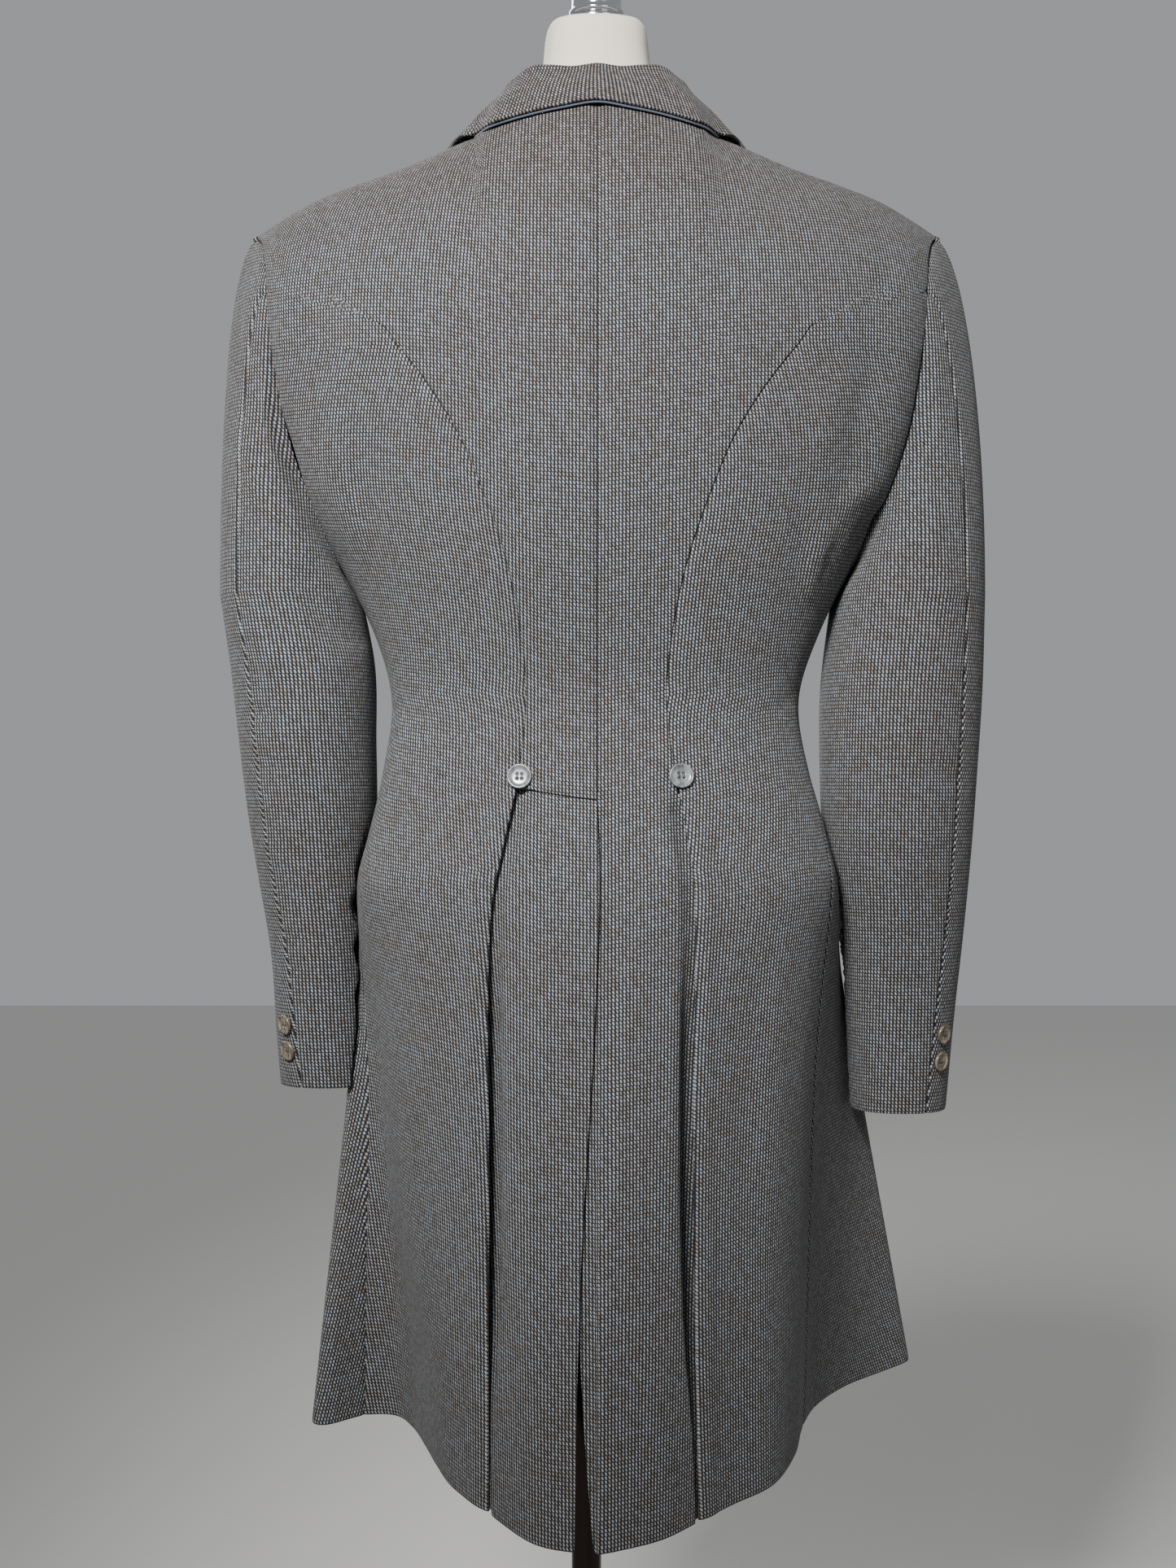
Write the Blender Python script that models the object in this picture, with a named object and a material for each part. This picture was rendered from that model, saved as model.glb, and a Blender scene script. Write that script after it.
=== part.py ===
"""Wool frock coat worn by a limbless dress form on a pole, in metres, +Z up.

The coat's back faces +Y and the wearer's left is +X. The origin is the middle of the base's flat
bottom. Every cut piece of the coat is a closed wall of cloth made from one shared surface.
"""

import math

import bmesh
import bpy
import numpy as np

# Driving sizes
CLOTH = 0.0020          # wall thickness of the wool
SEAM_GAP = 0.0003       # clear gap where two pieces meet
HIP_Z = 0.930           # where the skirt begins to fall free
CHEST_Z = 1.300         # where the shoulders begin to round over
RIDGE = 1.450           # surface level of the shoulder ridge and neckline
HEM = 0.466             # surface level of the hem
WAIST_SEAM = 0.984      # seam under the two back buttons
SIDE_HEM = 0.512        # the hem's real height at the sides
UNDERARM = 1.146
ROUNDNESS = 2.3         # superellipse exponent of the body's sections
SHOULDER_X = 0.2535     # half width at the shoulder points
NECK_X = 0.085          # half width where the shoulder seams meet the collar
ROLL_BREAK = 1.170      # where the lapels begin to turn back
LAPEL_STAND = 0.0026    # front to the lapel lying on it
PLEAT_DEPTH = 0.0068    # how far the tail lies under the folded side back
PLEAT_TUCK = 0.024      # width of cloth folded out of sight
VENT_DEPTH = 0.0042     # how far the right tail lies under the left
BACK_BUTTON = 0.018     # diameters of the buttons
CUFF_BUTTON = 0.015
FRONT_BUTTON = 0.020
BUTTON_STAND = 0.0012   # cloth to the middle of a button's flat back
POLE_R = 0.011
POLE_X = 0.0075
BASE_R = 0.165
BASE_T = 0.012
ARM_CLEAR = 0.0034      # sleeve to body where they hang side by side
FORM_BOTTOM = 0.880
FORM_SHOULDER_X = 0.205
FORM_GAP = 0.0036       # coat surface to form surface where the coat hangs
NECK_TOP = 1.553
RIDGE_Y = 0.020         # shoulder ridge behind the middle of the body
NECK_BACK = 0.050       # neck opening behind and in front of the ridge
NECK_FRONT = 0.085
NECK_RISE = 0.012       # neck's edge above the ridge at the back, below it in front
NECK_DROP = 0.060
SHOULDER_DRAW = 0.0012  # shoulder seams drawn in where the collar and the sleeves meet them
COLLAR_T = 0.0024       # top collar, under-collar and the room between them and the coat
FELT_T = 0.0012
COLLAR_LIFT = 0.0046
FELT_STATIONS = 5       # the felt lies under the collar across the back only
FELT_SHOW = 0.0014      # felt that shows below the collar's edge

# Rows of points: the skirt's levels, the seam above them, and the sleeve from armhole to cuff
SKIRT_LEVELS = np.array((0.466, 0.53, 0.60, 0.67, 0.74, 0.81, 0.87, 0.911, 0.934, 0.955, 0.971, 0.984))
SEAM_ROWS = 10
SLEEVE_RUNS = np.array((
    0, 0.10, 0.22, 0.38, 0.58, 0.78, 0.90, 1.0, 1.12, 1.25, 1.37, 1.46, 1.53, 1.61, 1.74, 1.88, 2.0,
))

# Body sections: height, half width left, half width right, back depth, front depth
SECTIONS = (
    (0.930, 0.1755, 0.1765, 0.104, 0.128),
    (0.970, 0.1650, 0.1660, 0.092, 0.118),
    (1.000, 0.1586, 0.1575, 0.085, 0.110),
    (1.055, 0.1526, 0.1505, 0.080, 0.105),
    (1.100, 0.1646, 0.1646, 0.091, 0.113),
    (1.146, 0.1875, 0.1875, 0.105, 0.122),
    (1.180, 0.2070, 0.2070, 0.113, 0.127),
    (1.215, 0.2240, 0.2240, 0.119, 0.130),
    (1.250, 0.2360, 0.2360, 0.123, 0.131),
    (1.300, 0.2455, 0.2455, 0.126, 0.128),
)

# Shoulder ridge: half width, height
SHOULDER_LINE = (
    (0.085, 1.4680), (0.110, 1.4580), (0.140, 1.4460), (0.180, 1.4330),
    (0.210, 1.4220), (0.235, 1.4085), (0.2535, 1.3970),
)

# Hem seen from above: angle round the body from the centre back, x, y, z, with the flutes of the
# flared skirt. The left side has a flute beside the side seam, the right one swings forward.
HEM_LEFT = (
    (0, 0.000, 0.160, 0.466), (12, 0.045, 0.146, 0.470), (22, 0.078, 0.107, 0.480),
    (34, 0.102, 0.080, 0.488), (48, 0.117, 0.044, 0.495), (60, 0.127, 0.012, 0.500),
    (72, 0.139, -0.022, 0.505), (82, 0.153, -0.040, 0.509), (91, 0.176, -0.041, 0.509),
    (100, 0.204, -0.024, 0.506), (108, 0.2155, -0.030, 0.507), (120, 0.204, -0.078, 0.512),
    (140, 0.150, -0.128, 0.518), (162, 0.070, -0.158, 0.520), (180, 0.000, -0.165, 0.520),
)
HEM_RIGHT = (
    (0, 0.000, 0.160, 0.466), (12, 0.046, 0.137, 0.470), (21, 0.073, 0.111, 0.475),
    (31, 0.096, 0.091, 0.480), (43, 0.127, 0.066, 0.487), (55, 0.147, 0.014, 0.494),
    (67, 0.157, -0.038, 0.500), (78, 0.171, -0.080, 0.506), (89, 0.199, -0.123, 0.511),
    (99, 0.229, -0.150, 0.515), (109, 0.254, -0.168, 0.520), (121, 0.246, -0.190, 0.520),
    (140, 0.180, -0.200, 0.520), (162, 0.080, -0.185, 0.520), (180, 0.000, -0.165, 0.520),
)

# Seams of the body: surface level, angle from the centre back
PLEAT_LINE = {
    +1: (
        (0.466, 22.0), (0.700, 22.6), (0.860, 22.4), (0.911, 21.2), (0.934, 20.2), (0.955, 19.4),
        (0.990, 17.6),
    ),
    -1: (
        (0.466, 21.0), (0.700, 19.6), (0.860, 19.8), (0.911, 19.6), (0.934, 19.4), (0.955, 18.9),
        (0.990, 18.0),
    ),
}
CURVED_SEAM = (
    (0.990, 17.8), (1.036, 16.6), (1.082, 16.2), (1.136, 16.6), (1.191, 18.6), (1.236, 21.8),
    (1.268, 26.0), (1.294, 31.4), (1.320, 38.5), (1.333, 46.5), (1.341, 54.5), (1.346, 64.0), (1.349, 73.6),
)
ARMHOLE_BACK = (
    (1.146, 92.0), (1.150, 86.5), (1.160, 82.0), (1.180, 78.0), (1.215, 75.0), (1.284, 73.0),
    (1.349, 73.6), (1.385, 76.0), (1.420, 80.5), (1.450, 90.0),
)
ARMHOLE_FRONT = (
    (1.146, 92.0), (1.150, 97.0), (1.160, 102.0), (1.180, 107.0), (1.215, 110.5), (1.260, 111.0),
    (1.320, 108.0), (1.370, 103.5), (1.420, 98.0), (1.450, 90.0),
)
SIDE_SEAM = {
    +1: ((0.466, 91.0), (0.860, 89.0), (0.930, 88.0), (1.055, 93.0), (1.146, 92.0)),
    -1: ((0.466, 68.0), (0.850, 69.5), (0.930, 74.0), (1.020, 90.0), (1.055, 92.0), (1.146, 92.0)),
}

# Sleeve sections: height, inner x, outer x, back y, front y
SLEEVE = {
    +1: (
        (1.130, 0.1760, 0.2805, 0.064, -0.085), (1.080, 0.1665, 0.2735, 0.060, -0.083),
        (1.020, 0.1655, 0.2670, 0.052, -0.080), (0.968, 0.1655, 0.2615, 0.040, -0.080),
        (0.930, 0.1680, 0.2565, 0.029, -0.084), (0.860, 0.1700, 0.2470, 0.010, -0.093),
        (0.800, 0.1690, 0.2445, -0.006, -0.100), (0.761, 0.1680, 0.2425, -0.016, -0.106),
    ),
    -1: (
        (1.130, 0.1760, 0.2895, 0.064, -0.085), (1.060, 0.1680, 0.2880, 0.058, -0.082),
        (1.000, 0.1680, 0.2850, 0.048, -0.080), (0.940, 0.1720, 0.2820, 0.034, -0.083),
        (0.877, 0.1830, 0.2785, 0.012, -0.092), (0.816, 0.1900, 0.2740, -0.006, -0.102),
        (0.741, 0.1960, 0.2690, -0.022, -0.112),
    ),
}
HIND_SEAM = ((0.0, 70.4), (0.6, 58.0), (1.0, 52.0), (1.4, 50.0), (2.0, 64.0))
FORE_SEAM = ((0.0, 225.0), (1.0, 234.0), (2.0, 236.0))

# The front's edge: level, angle. Below the break it is closed, above it the lapel turns back.
ROLL_LINE = ((0.466, 179.7), (1.170, 179.7), (1.250, 172.5), (1.350, 165.5), (1.450, 163.2))

# Collar: station, stand height, lean to the neck, fall's edge as angle and level on the coat. A
# station is a turn round the neck from the centre back up to 90, then a way down the roll line.
COLLAR_STATIONS = np.array((0, 14, 28, 42, 56, 70, 82, 92, 104, 118, 132))
COLLAR_BACK = (
    (0, 0.0285, 0.0130, 0.0, 1.4305), (14, 0.0295, 0.0130, 3.6, 1.4300),
    (28, 0.0340, 0.0130, 7.5, 1.4285), (42, 0.0372, 0.0145, 10.8, 1.4268),
    (56, 0.0335, 0.0160, 14.0, 1.4258), (82, 0.0310, 0.0200, 19.0, 1.4350),
    (92, 0.0290, 0.0200, 20.3, 1.4500),
)
COLLAR_FRONT = (
    (92, 0.0290, 0.0200, 160.0, 1.4500), (104, 0.0230, 0.0160, 157.5, 1.4400),
    (132, 0.0100, 0.0060, 150.5, 1.4030),
)

# The edge of the tail at the back vent: level, distance from the middle
VENT_LEFT = (
    (0.466, 0.0160), (0.550, 0.0145), (0.690, 0.0098), (0.790, 0.0035), (0.850, 0.0005),
    (0.930, -0.0015), (0.984, 0.0002),
)
VENT_RIGHT = ((0.466, 0.0045), (0.500, 0.0075), (0.580, 0.0125), (0.750, 0.0185), (0.960, 0.0215))
VENT_STEP = ((0.466, 0.0035), (0.580, 0.0040), (0.800, -0.0060), (0.984, -0.0060))

# Rows across the tail beside the pleat: cloth from the folded edge and depth under it, in the
# skirt and at the waist seam
TAIL_SKIRT = (
    (-0.014, 0.0), (-0.009, 0.35 * PLEAT_DEPTH), (-0.004, 0.85 * PLEAT_DEPTH), (0.001, PLEAT_DEPTH),
    (0.012, PLEAT_DEPTH), (PLEAT_TUCK, PLEAT_DEPTH),
)
TAIL_WAIST = (
    (-0.014, 0.0), (-0.009, 0.0008), (-0.004, 0.0026), (-0.0020, 0.0028), (-0.0012, 0.0028),
    (-0.0004, 0.0028),
)

# The side back's rear edge as rows of cloth from the seam and depth: turned under in the skirt to
# make the pleat's fold, plain above the waist
FOLD_OUT = ((0.020, 0.005), (0.0025, 0.005), (0.0, 0.0025), (0.0007, 0.0007), (0.0025, 0.0))
FOLD_IN = ((0.020, 0.003), (0.0025, 0.003), (0.0020, 0.0025), (0.00215, 0.00215), (0.0025, 0.002))
PLAIN_OUT = ((0.0008, 0.0020), (0.0003, 0.0020), (0.0002, 0.0010), (0.0002, 0.0), (0.0025, 0.0))
PLAIN_IN = ((0.0011, 0.0020), (0.0014, 0.0020), (0.0017, 0.0020), (0.0020, 0.0020), (0.0025, 0.0020))

# Torso form: levels of its rings, its trim inside the coat by level, turns round half of it, and
# the neck's rings as radius, height and share of a true circle
FORM_LEVELS = np.array((
    FORM_BOTTOM, 0.93, 0.99, 1.055, 1.11, 1.17, 1.24, 1.30, 1.345, 1.385, 1.415, 1.435, 1.447,
))
FORM_TRIM = ((0.99, 0.0125), (1.055, 0.0110), (1.20, 0.0060), (1.30, FORM_GAP))
FORM_TURNS = np.array((0, 5, 10, 16.5, 24, 33, 43, 54, 66, 78, 90))
NECK_RINGS = (
    (0.056, 1.492, 0.8), (0.048, 1.512, 1.0), (0.0465, 1.540, 1.0), (0.044, NECK_TOP - 0.003, 1.0),
    (0.038, NECK_TOP, 1.0),
)

# Turned pieces: radius and height above each piece's own foot
CAP_PROFILE = (
    (0, 0), (0.0235, 0), (0.0235, 0.006), (0.0205, 0.008), (0.0185, 0.012), (0.0180, 0.026),
    (0.0150, 0.031), (0.0075, 0.034), (0.0070, 0.038), (0.0105, 0.043), (0.0110, 0.049),
    (0.0075, 0.054), (0, 0.056),
)
BASE_PROFILE = (
    (0, 0), (BASE_R, 0), (BASE_R, BASE_T - 0.004), (BASE_R - 0.004, BASE_T), (0.034, BASE_T + 0.002),
    (0.024, BASE_T + 0.006), (0.019, BASE_T + 0.018), (0, BASE_T + 0.018),
)
POLE_FLANGE = 0.030     # radius of the flange under the form
# A button's profile as shares of its radius
BUTTON_PROFILE = (
    (0, 0), (0.86, 0), (1, 0.13), (1, 0.27), (0.93, 0.36), (0.82, 0.34), (0.70, 0.24), (0, 0.24),
)
# Buttons: x and height at the back waist, heights above the cuff, levels on the front
BACK_BUTTONS = {+1: (0.0550, 0.9950), -1: (0.0595, 0.9955)}
CUFF_BUTTONS = {+1: (0.029, 0.049), -1: (0.040, 0.061)}
FRONT_BUTTONS = (0.998, 1.062, 1.126)

# Turns round the armhole, in degrees from the shoulder point over the back, where both the body's
# edge and the sleeve's head have their points
HOLE_SIDE_BACK = (180, 165, 150, 135, 120, 105, 90, 70.4)
HOLE_BACK = (70.4, 56, 42, 28, 14, 0)
HOLE_FRONT = (180, 195, 210, 225, 240, 255, 270, 285, 300, 315, 330, 345, 360)


def smooth(rows, at):
    """A cubic through rows of (key, values...), read at an array of keys."""
    rows = np.asarray(rows, float)
    keys, values = rows[:, 0], rows[:, 1:]
    slopes = np.gradient(values, keys, axis=0)
    at = np.clip(np.asarray(at, float), keys[0], keys[-1])
    low = np.clip(np.searchsorted(keys, at, side="right") - 1, 0, len(keys) - 2)
    width = (keys[low + 1] - keys[low])[..., None]
    t = (at - keys[low])[..., None] / width
    return (
        values[low] * (1 + 2 * t) * (1 - t) ** 2 + values[low + 1] * t * t * (3 - 2 * t)
        + slopes[low] * width * t * (1 - t) ** 2 - slopes[low + 1] * width * t * t * (1 - t)
    )


def ramp(value, start, end):
    """0 before start and 1 after end, with a soft S between."""
    t = np.clip((value - start) / (end - start), 0, 1)
    return t * t * (3 - 2 * t)


def section(angle, height, side, trim=0.0, narrow=None):
    """A point of the body's section at a height, as x on one side and y."""
    row = smooth(SECTIONS, height)
    half = row[..., 0] if side > 0 else row[..., 1]
    if narrow is not None:
        half = np.minimum(half, narrow)
    turn = np.radians(angle)
    x = (half - trim) * np.abs(np.sin(turn)) ** (2 / ROUNDNESS)
    cosine = np.cos(turn)
    depth = np.where(cosine > 0, row[..., 2], row[..., 3]) - trim
    return x, depth * np.sign(cosine) * np.abs(cosine) ** (2 / ROUNDNESS)


def neckline(x, angle):
    """The top of the coat over x: the shoulder ridge, or inside it the neck's edge."""
    inside = np.sqrt(np.clip(1 - (x / (NECK_X + 0.0025)) ** 2, 0, 1))
    front = angle > 90
    ridge_y = RIDGE_Y * np.clip((SHOULDER_X - x) / (SHOULDER_X - NECK_X), 0, 1)
    y = np.where(x < NECK_X, RIDGE_Y + inside * np.where(front, -NECK_FRONT, NECK_BACK), ridge_y)
    shift = np.clip(1 - x / NECK_X, 0, 1) * np.where(front, -NECK_DROP, NECK_RISE)
    return y, smooth(SHOULDER_LINE, x)[..., 0] + shift


def surface(angle, level, side, trim=0.0, narrow=None):
    """The coat's outer surface. Below the hip it runs straight to the hem's outline, up to the
    chest it is a stack of sections, and above that each column bends over to the shoulder ridge."""
    angle = np.asarray(angle, float)
    level = np.asarray(level, float) + 0 * angle
    angle = angle + 0 * level
    mirrored = np.where(angle < 0, -side, side)
    angle = np.abs(angle)
    x, y = section(angle, np.clip(level, HIP_Z, CHEST_Z), side, trim, narrow)
    z = np.clip(level, HIP_Z, CHEST_Z)
    fall = np.clip((HIP_Z - level) / (HIP_Z - HEM), 0, None)
    hem = smooth(HEM_LEFT if side > 0 else HEM_RIGHT, angle)
    spread = np.clip(fall, 0, None) ** 0.92
    x = x + spread * (hem[..., 0] - x)
    y = y + spread * (hem[..., 1] - y)
    z = z + fall * (hem[..., 2] - z)
    over = np.clip((level - CHEST_Z) / (RIDGE - CHEST_Z), 0, None)
    tip = (SHOULDER_X if narrow is None else narrow) / section(90.0, CHEST_Z, side, trim, narrow)[0]
    top_x = x * tip
    top_y, top_z = neckline(top_x, angle)
    top_z = top_z - trim
    rise = top_z - CHEST_Z
    p0, p3 = np.stack([x, y, z], -1), np.stack([top_x, top_y, top_z], -1)
    p1 = np.stack([x + 0.35 * (top_x - x), y + 0.03 * y, z + 0.50 * rise], -1)
    p2 = np.stack([top_x, top_y + 0.46 * (y - top_y), top_z - 0.04 * rise], -1)
    t = over[..., None]
    bent = p0 * (1 - t) ** 3 + 3 * p1 * t * (1 - t) ** 2 + 3 * p2 * t * t * (1 - t) + p3 * t ** 3
    point = np.where(t > 0, bent, p0)
    point[..., 0] *= mirrored
    return point


def facing(function, a, b, side, step_a=0.4, step_b=0.002):
    """Outward unit normals of a surface function of (a, b), by small steps."""
    along_a = function(a + step_a, b, side) - function(a - step_a, b, side)
    along_b = function(a, b + step_b, side) - function(a, b - step_b, side)
    normal = np.cross(along_b, along_a) * side
    return normal / np.maximum(np.linalg.norm(normal, axis=-1, keepdims=True), 1e-12)


def walk(path, count, side):
    """Points spread evenly by real length along a path of (level, angle) on the surface."""
    path = np.asarray(path, float)
    stops = np.arange(len(path))
    fine = np.linspace(0, len(path) - 1, 12 * len(path))
    level = smooth(np.column_stack([stops, path[:, 0]]), fine)[..., 0]
    angle = smooth(np.column_stack([stops, path[:, 1]]), fine)[..., 0]
    spots = surface(angle, level, side)
    length = np.r_[0, np.cumsum(np.linalg.norm(np.diff(spots, axis=0), axis=1))]
    want = np.linspace(0, length[-1], count)
    return np.column_stack([np.interp(want, length, level), np.interp(want, length, angle)])


def patch(left, right, top, columns, crowd=1.0):
    """A Coons patch of (level, angle) between two side paths, with a straight bottom row and a given
    top row, or a straight one. crowd above 1 gathers the columns towards the left path."""
    v = np.linspace(0, 1, len(left))[:, None, None]
    u = np.linspace(0, 1, columns)[None, :, None] ** crowd
    bottom = (1 - u[0]) * left[0] + u[0] * right[0]
    if top is None:
        top = (1 - u[0]) * left[-1] + u[0] * right[-1]
    corners = (
        (1 - u) * (1 - v) * left[0] + u * (1 - v) * right[0]
        + (1 - u) * v * left[-1] + u * v * right[-1]
    )
    sides = (1 - u) * left[:, None] + u * right[:, None]
    ends = (1 - v) * bottom[None] + v * top[None]
    return sides + ends - corners


def local(angle, level, side):
    """Metres of cloth in one degree round the body at a place on the surface."""
    span = surface(angle + 0.5, level, side) - surface(angle - 0.5, level, side)
    return np.linalg.norm(span, axis=-1)


def sunk(angle, level, side, depth):
    """Points on the surface, moved in by a depth."""
    return surface(angle, level, side) - depth[..., None] * facing(surface, angle, level, side)


def angle_at(x, levels, side):
    """The angle at which the surface has a given x near the centre back, level by level."""
    angles = np.linspace(-14, 14, 141)
    found = []
    for value, level in zip(x, levels):
        found.append(np.interp(value, surface(angles, level, side)[:, 0] * side, angles))
    return np.array(found)


def material_of(name, colour, roughness, metallic=0.0):
    """A Principled material in one colour."""
    material = bpy.data.materials.get(name) or bpy.data.materials.new(name)
    material.use_nodes = True
    shader = material.node_tree.nodes["Principled BSDF"]
    shader.inputs["Base Color"].default_value = (*colour, 1.0)
    shader.inputs["Roughness"].default_value = roughness
    shader.inputs["Metallic"].default_value = metallic
    return material


def add_object(name, points, faces, material):
    """A named object from points and faces, with its faces turned outwards."""
    mesh = bpy.data.meshes.new(name)
    mesh.from_pydata([tuple(p) for p in points], [], faces)
    shell = bmesh.new()
    shell.from_mesh(mesh)
    bmesh.ops.recalc_face_normals(shell, faces=shell.faces)
    bmesh.ops.triangulate(shell, faces=shell.faces)
    if shell.calc_volume(signed=True) < 0:
        bmesh.ops.reverse_faces(shell, faces=shell.faces)
    shell.to_mesh(mesh)
    shell.free()
    mesh.materials.append(material)
    mesh.shade_smooth()
    mesh.set_sharp_from_angle(angle=math.radians(40))
    thing = bpy.data.objects.new(name, mesh)
    bpy.context.scene.collection.objects.link(thing)
    return thing


def wall(name, outer, inner, material):
    """A closed wall between two grids of points: both faces and the rim that joins them."""
    rows, columns = outer.shape[:2]
    points = np.concatenate([outer.reshape(-1, 3), inner.reshape(-1, 3)])
    index = np.arange(rows * columns).reshape(rows, columns)
    other = index + rows * columns
    faces = []
    for i in range(rows - 1):
        for j in range(columns - 1):
            a, b, c, d = index[i, j], index[i, j + 1], index[i + 1, j + 1], index[i + 1, j]
            faces.append((a, b, c, d))
            faces.append(tuple(other[k] for k in ((i + 1, j), (i + 1, j + 1), (i, j + 1), (i, j))))
    rim = [(0, j) for j in range(columns)] + [(i, columns - 1) for i in range(1, rows)]
    rim += [(rows - 1, j) for j in range(columns - 2, -1, -1)] + [(i, 0) for i in range(rows - 2, 0, -1)]
    for here, there in zip(rim, rim[1:] + rim[:1]):
        faces.append((index[there], index[here], other[here], other[there]))
    return add_object(name, points, [tuple(int(k) for k in face) for face in faces], material)


def drawn_in(grid, top=0.6 * SEAM_GAP):
    """Moves a grid's edge points in by half a seam's gap, its last row by a gap of its own."""
    grid = grid.copy()
    for edge, beside in ((0, 1), (-1, -2)):
        for axis in (0, 1):
            gap = top if axis == 0 and edge == -1 else 0.6 * SEAM_GAP
            edges, next_to = (grid[edge], grid[beside]) if axis == 0 else (grid[:, edge], grid[:, beside])
            step = next_to - edges
            edges += gap * step / np.maximum(np.linalg.norm(step, axis=-1, keepdims=True), 1e-9)
    return grid


def panel(name, net, side, material, lift=0.0):
    """One cut piece from a net of (level, angle), as a wall on the shared surface."""
    level, angle = net[..., 0], net[..., 1]
    normal = facing(surface, angle, level, side)
    face = drawn_in(surface(angle, level, side), top=SHOULDER_DRAW)
    return wall(name, face + lift * normal, face + (lift - CLOTH) * normal, material)


def pleat_line(side):
    """The folded edge of the side pleat, from the hem to the back button."""
    angles = smooth(PLEAT_LINE[side], SKIRT_LEVELS)[:, 0]
    return np.column_stack([SKIRT_LEVELS, angles])


def curved_seam(side):
    """The seam from the back button up over the shoulder blade to the armhole."""
    return walk(CURVED_SEAM, SEAM_ROWS, side)


def side_seam(side, rows):
    """The seam from the hem to the underarm."""
    stops = np.linspace(0, 1, rows - len(SKIRT_LEVELS) + 1)[1:]
    levels = np.r_[SKIRT_LEVELS, SKIRT_LEVELS[-1] + stops * (UNDERARM - SKIRT_LEVELS[-1])]
    return np.column_stack([levels, smooth(SIDE_SEAM[side], levels)[:, 0]])


def armhole(turns):
    """The armhole's edge as (level, angle), by turns from the shoulder point over the back."""
    turns = np.asarray(turns, float)
    level = (RIDGE + UNDERARM) / 2 + (RIDGE - UNDERARM) / 2 * np.cos(np.radians(turns))
    behind = np.mod(turns, 360) <= 180
    angle = np.where(behind, smooth(ARMHOLE_BACK, level)[..., 0], smooth(ARMHOLE_FRONT, level)[..., 0])
    return np.stack([level, angle], -1)


def tail_net(side):
    """Angle and depth of a tail: the vent's edge, the flat of the tail and the part in the pleat."""
    levels = SKIRT_LEVELS
    fold = pleat_line(side)[:, 1]
    opened = ramp(levels, 0.984, 0.968)
    metres = local(fold, levels, side)
    skirt, waist = np.array(TAIL_SKIRT), np.array(TAIL_WAIST)
    rows = waist + opened[:, None, None] * (skirt - waist)
    angle = fold[:, None] + rows[..., 0] / metres[:, None]
    depth = rows[..., 1]
    if side > 0:
        vent = angle_at(smooth(VENT_LEFT, levels)[:, 0], levels, side)[:, None]
        vent_depth = np.zeros_like(vent)
    else:
        edge = opened * smooth(VENT_RIGHT, levels)[:, 0] - (1 - opened) * 2 * SEAM_GAP
        step = np.minimum(smooth(VENT_STEP, levels)[:, 0], edge - 0.002)
        stops = np.stack([edge, step, step - 0.010], 1)
        vent = np.stack([angle_at(-stops[:, k], levels, side) for k in range(3)], 1)
        lap = opened * VENT_DEPTH + (1 - opened) * TAIL_WAIST[-1][1]
        vent_depth = np.array([1, 1, 0]) * lap[:, None]
    share = np.linspace(0, 1, 6)[1:-1]
    flat = vent[:, -1:] + share * (angle[:, :1] - vent[:, -1:])
    angle = np.concatenate([vent, flat, angle], 1)
    depth = np.concatenate([vent_depth, np.zeros_like(flat), depth], 1)
    return np.stack([levels[:, None] + 0 * angle, angle], -1), depth


def back_net(side, columns):
    """The centre back above the waist: centre seam, curved seam, armhole and shoulder seam."""
    outer = np.concatenate([curved_seam(side), armhole(HOLE_BACK)[1:]])
    rise = np.linspace(0, 1, len(outer))
    start = WAIST_SEAM + SEAM_GAP
    centre = np.column_stack([start + rise * (RIDGE - start), 0 * rise])
    return patch(centre, outer, None, columns)


def back_pieces(side, wool):
    """The centre back of one side and its tail. The right one is cut in one piece to the hem."""
    net, depth = tail_net(side)
    normal = facing(surface, net[..., 1], net[..., 0], side)
    tail = surface(net[..., 1], net[..., 0], side) - depth[..., None] * normal
    tail_inside = tail - CLOTH * normal
    if side > 0:
        panel("back_left", back_net(side, 12), side, wool)
        wall("tail_left", tail, tail_inside, wool)
        return
    upper = back_net(side, net.shape[1])
    upper_normal = facing(surface, upper[..., 1], upper[..., 0], side)
    face = drawn_in(surface(upper[..., 1], upper[..., 0], side), top=SHOULDER_DRAW)
    face[0, :, 2] += 1.5 * CLOTH
    inside = face - CLOTH * upper_normal
    wall("back_right", np.concatenate([tail, face]), np.concatenate([tail_inside, inside]), wool)


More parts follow.
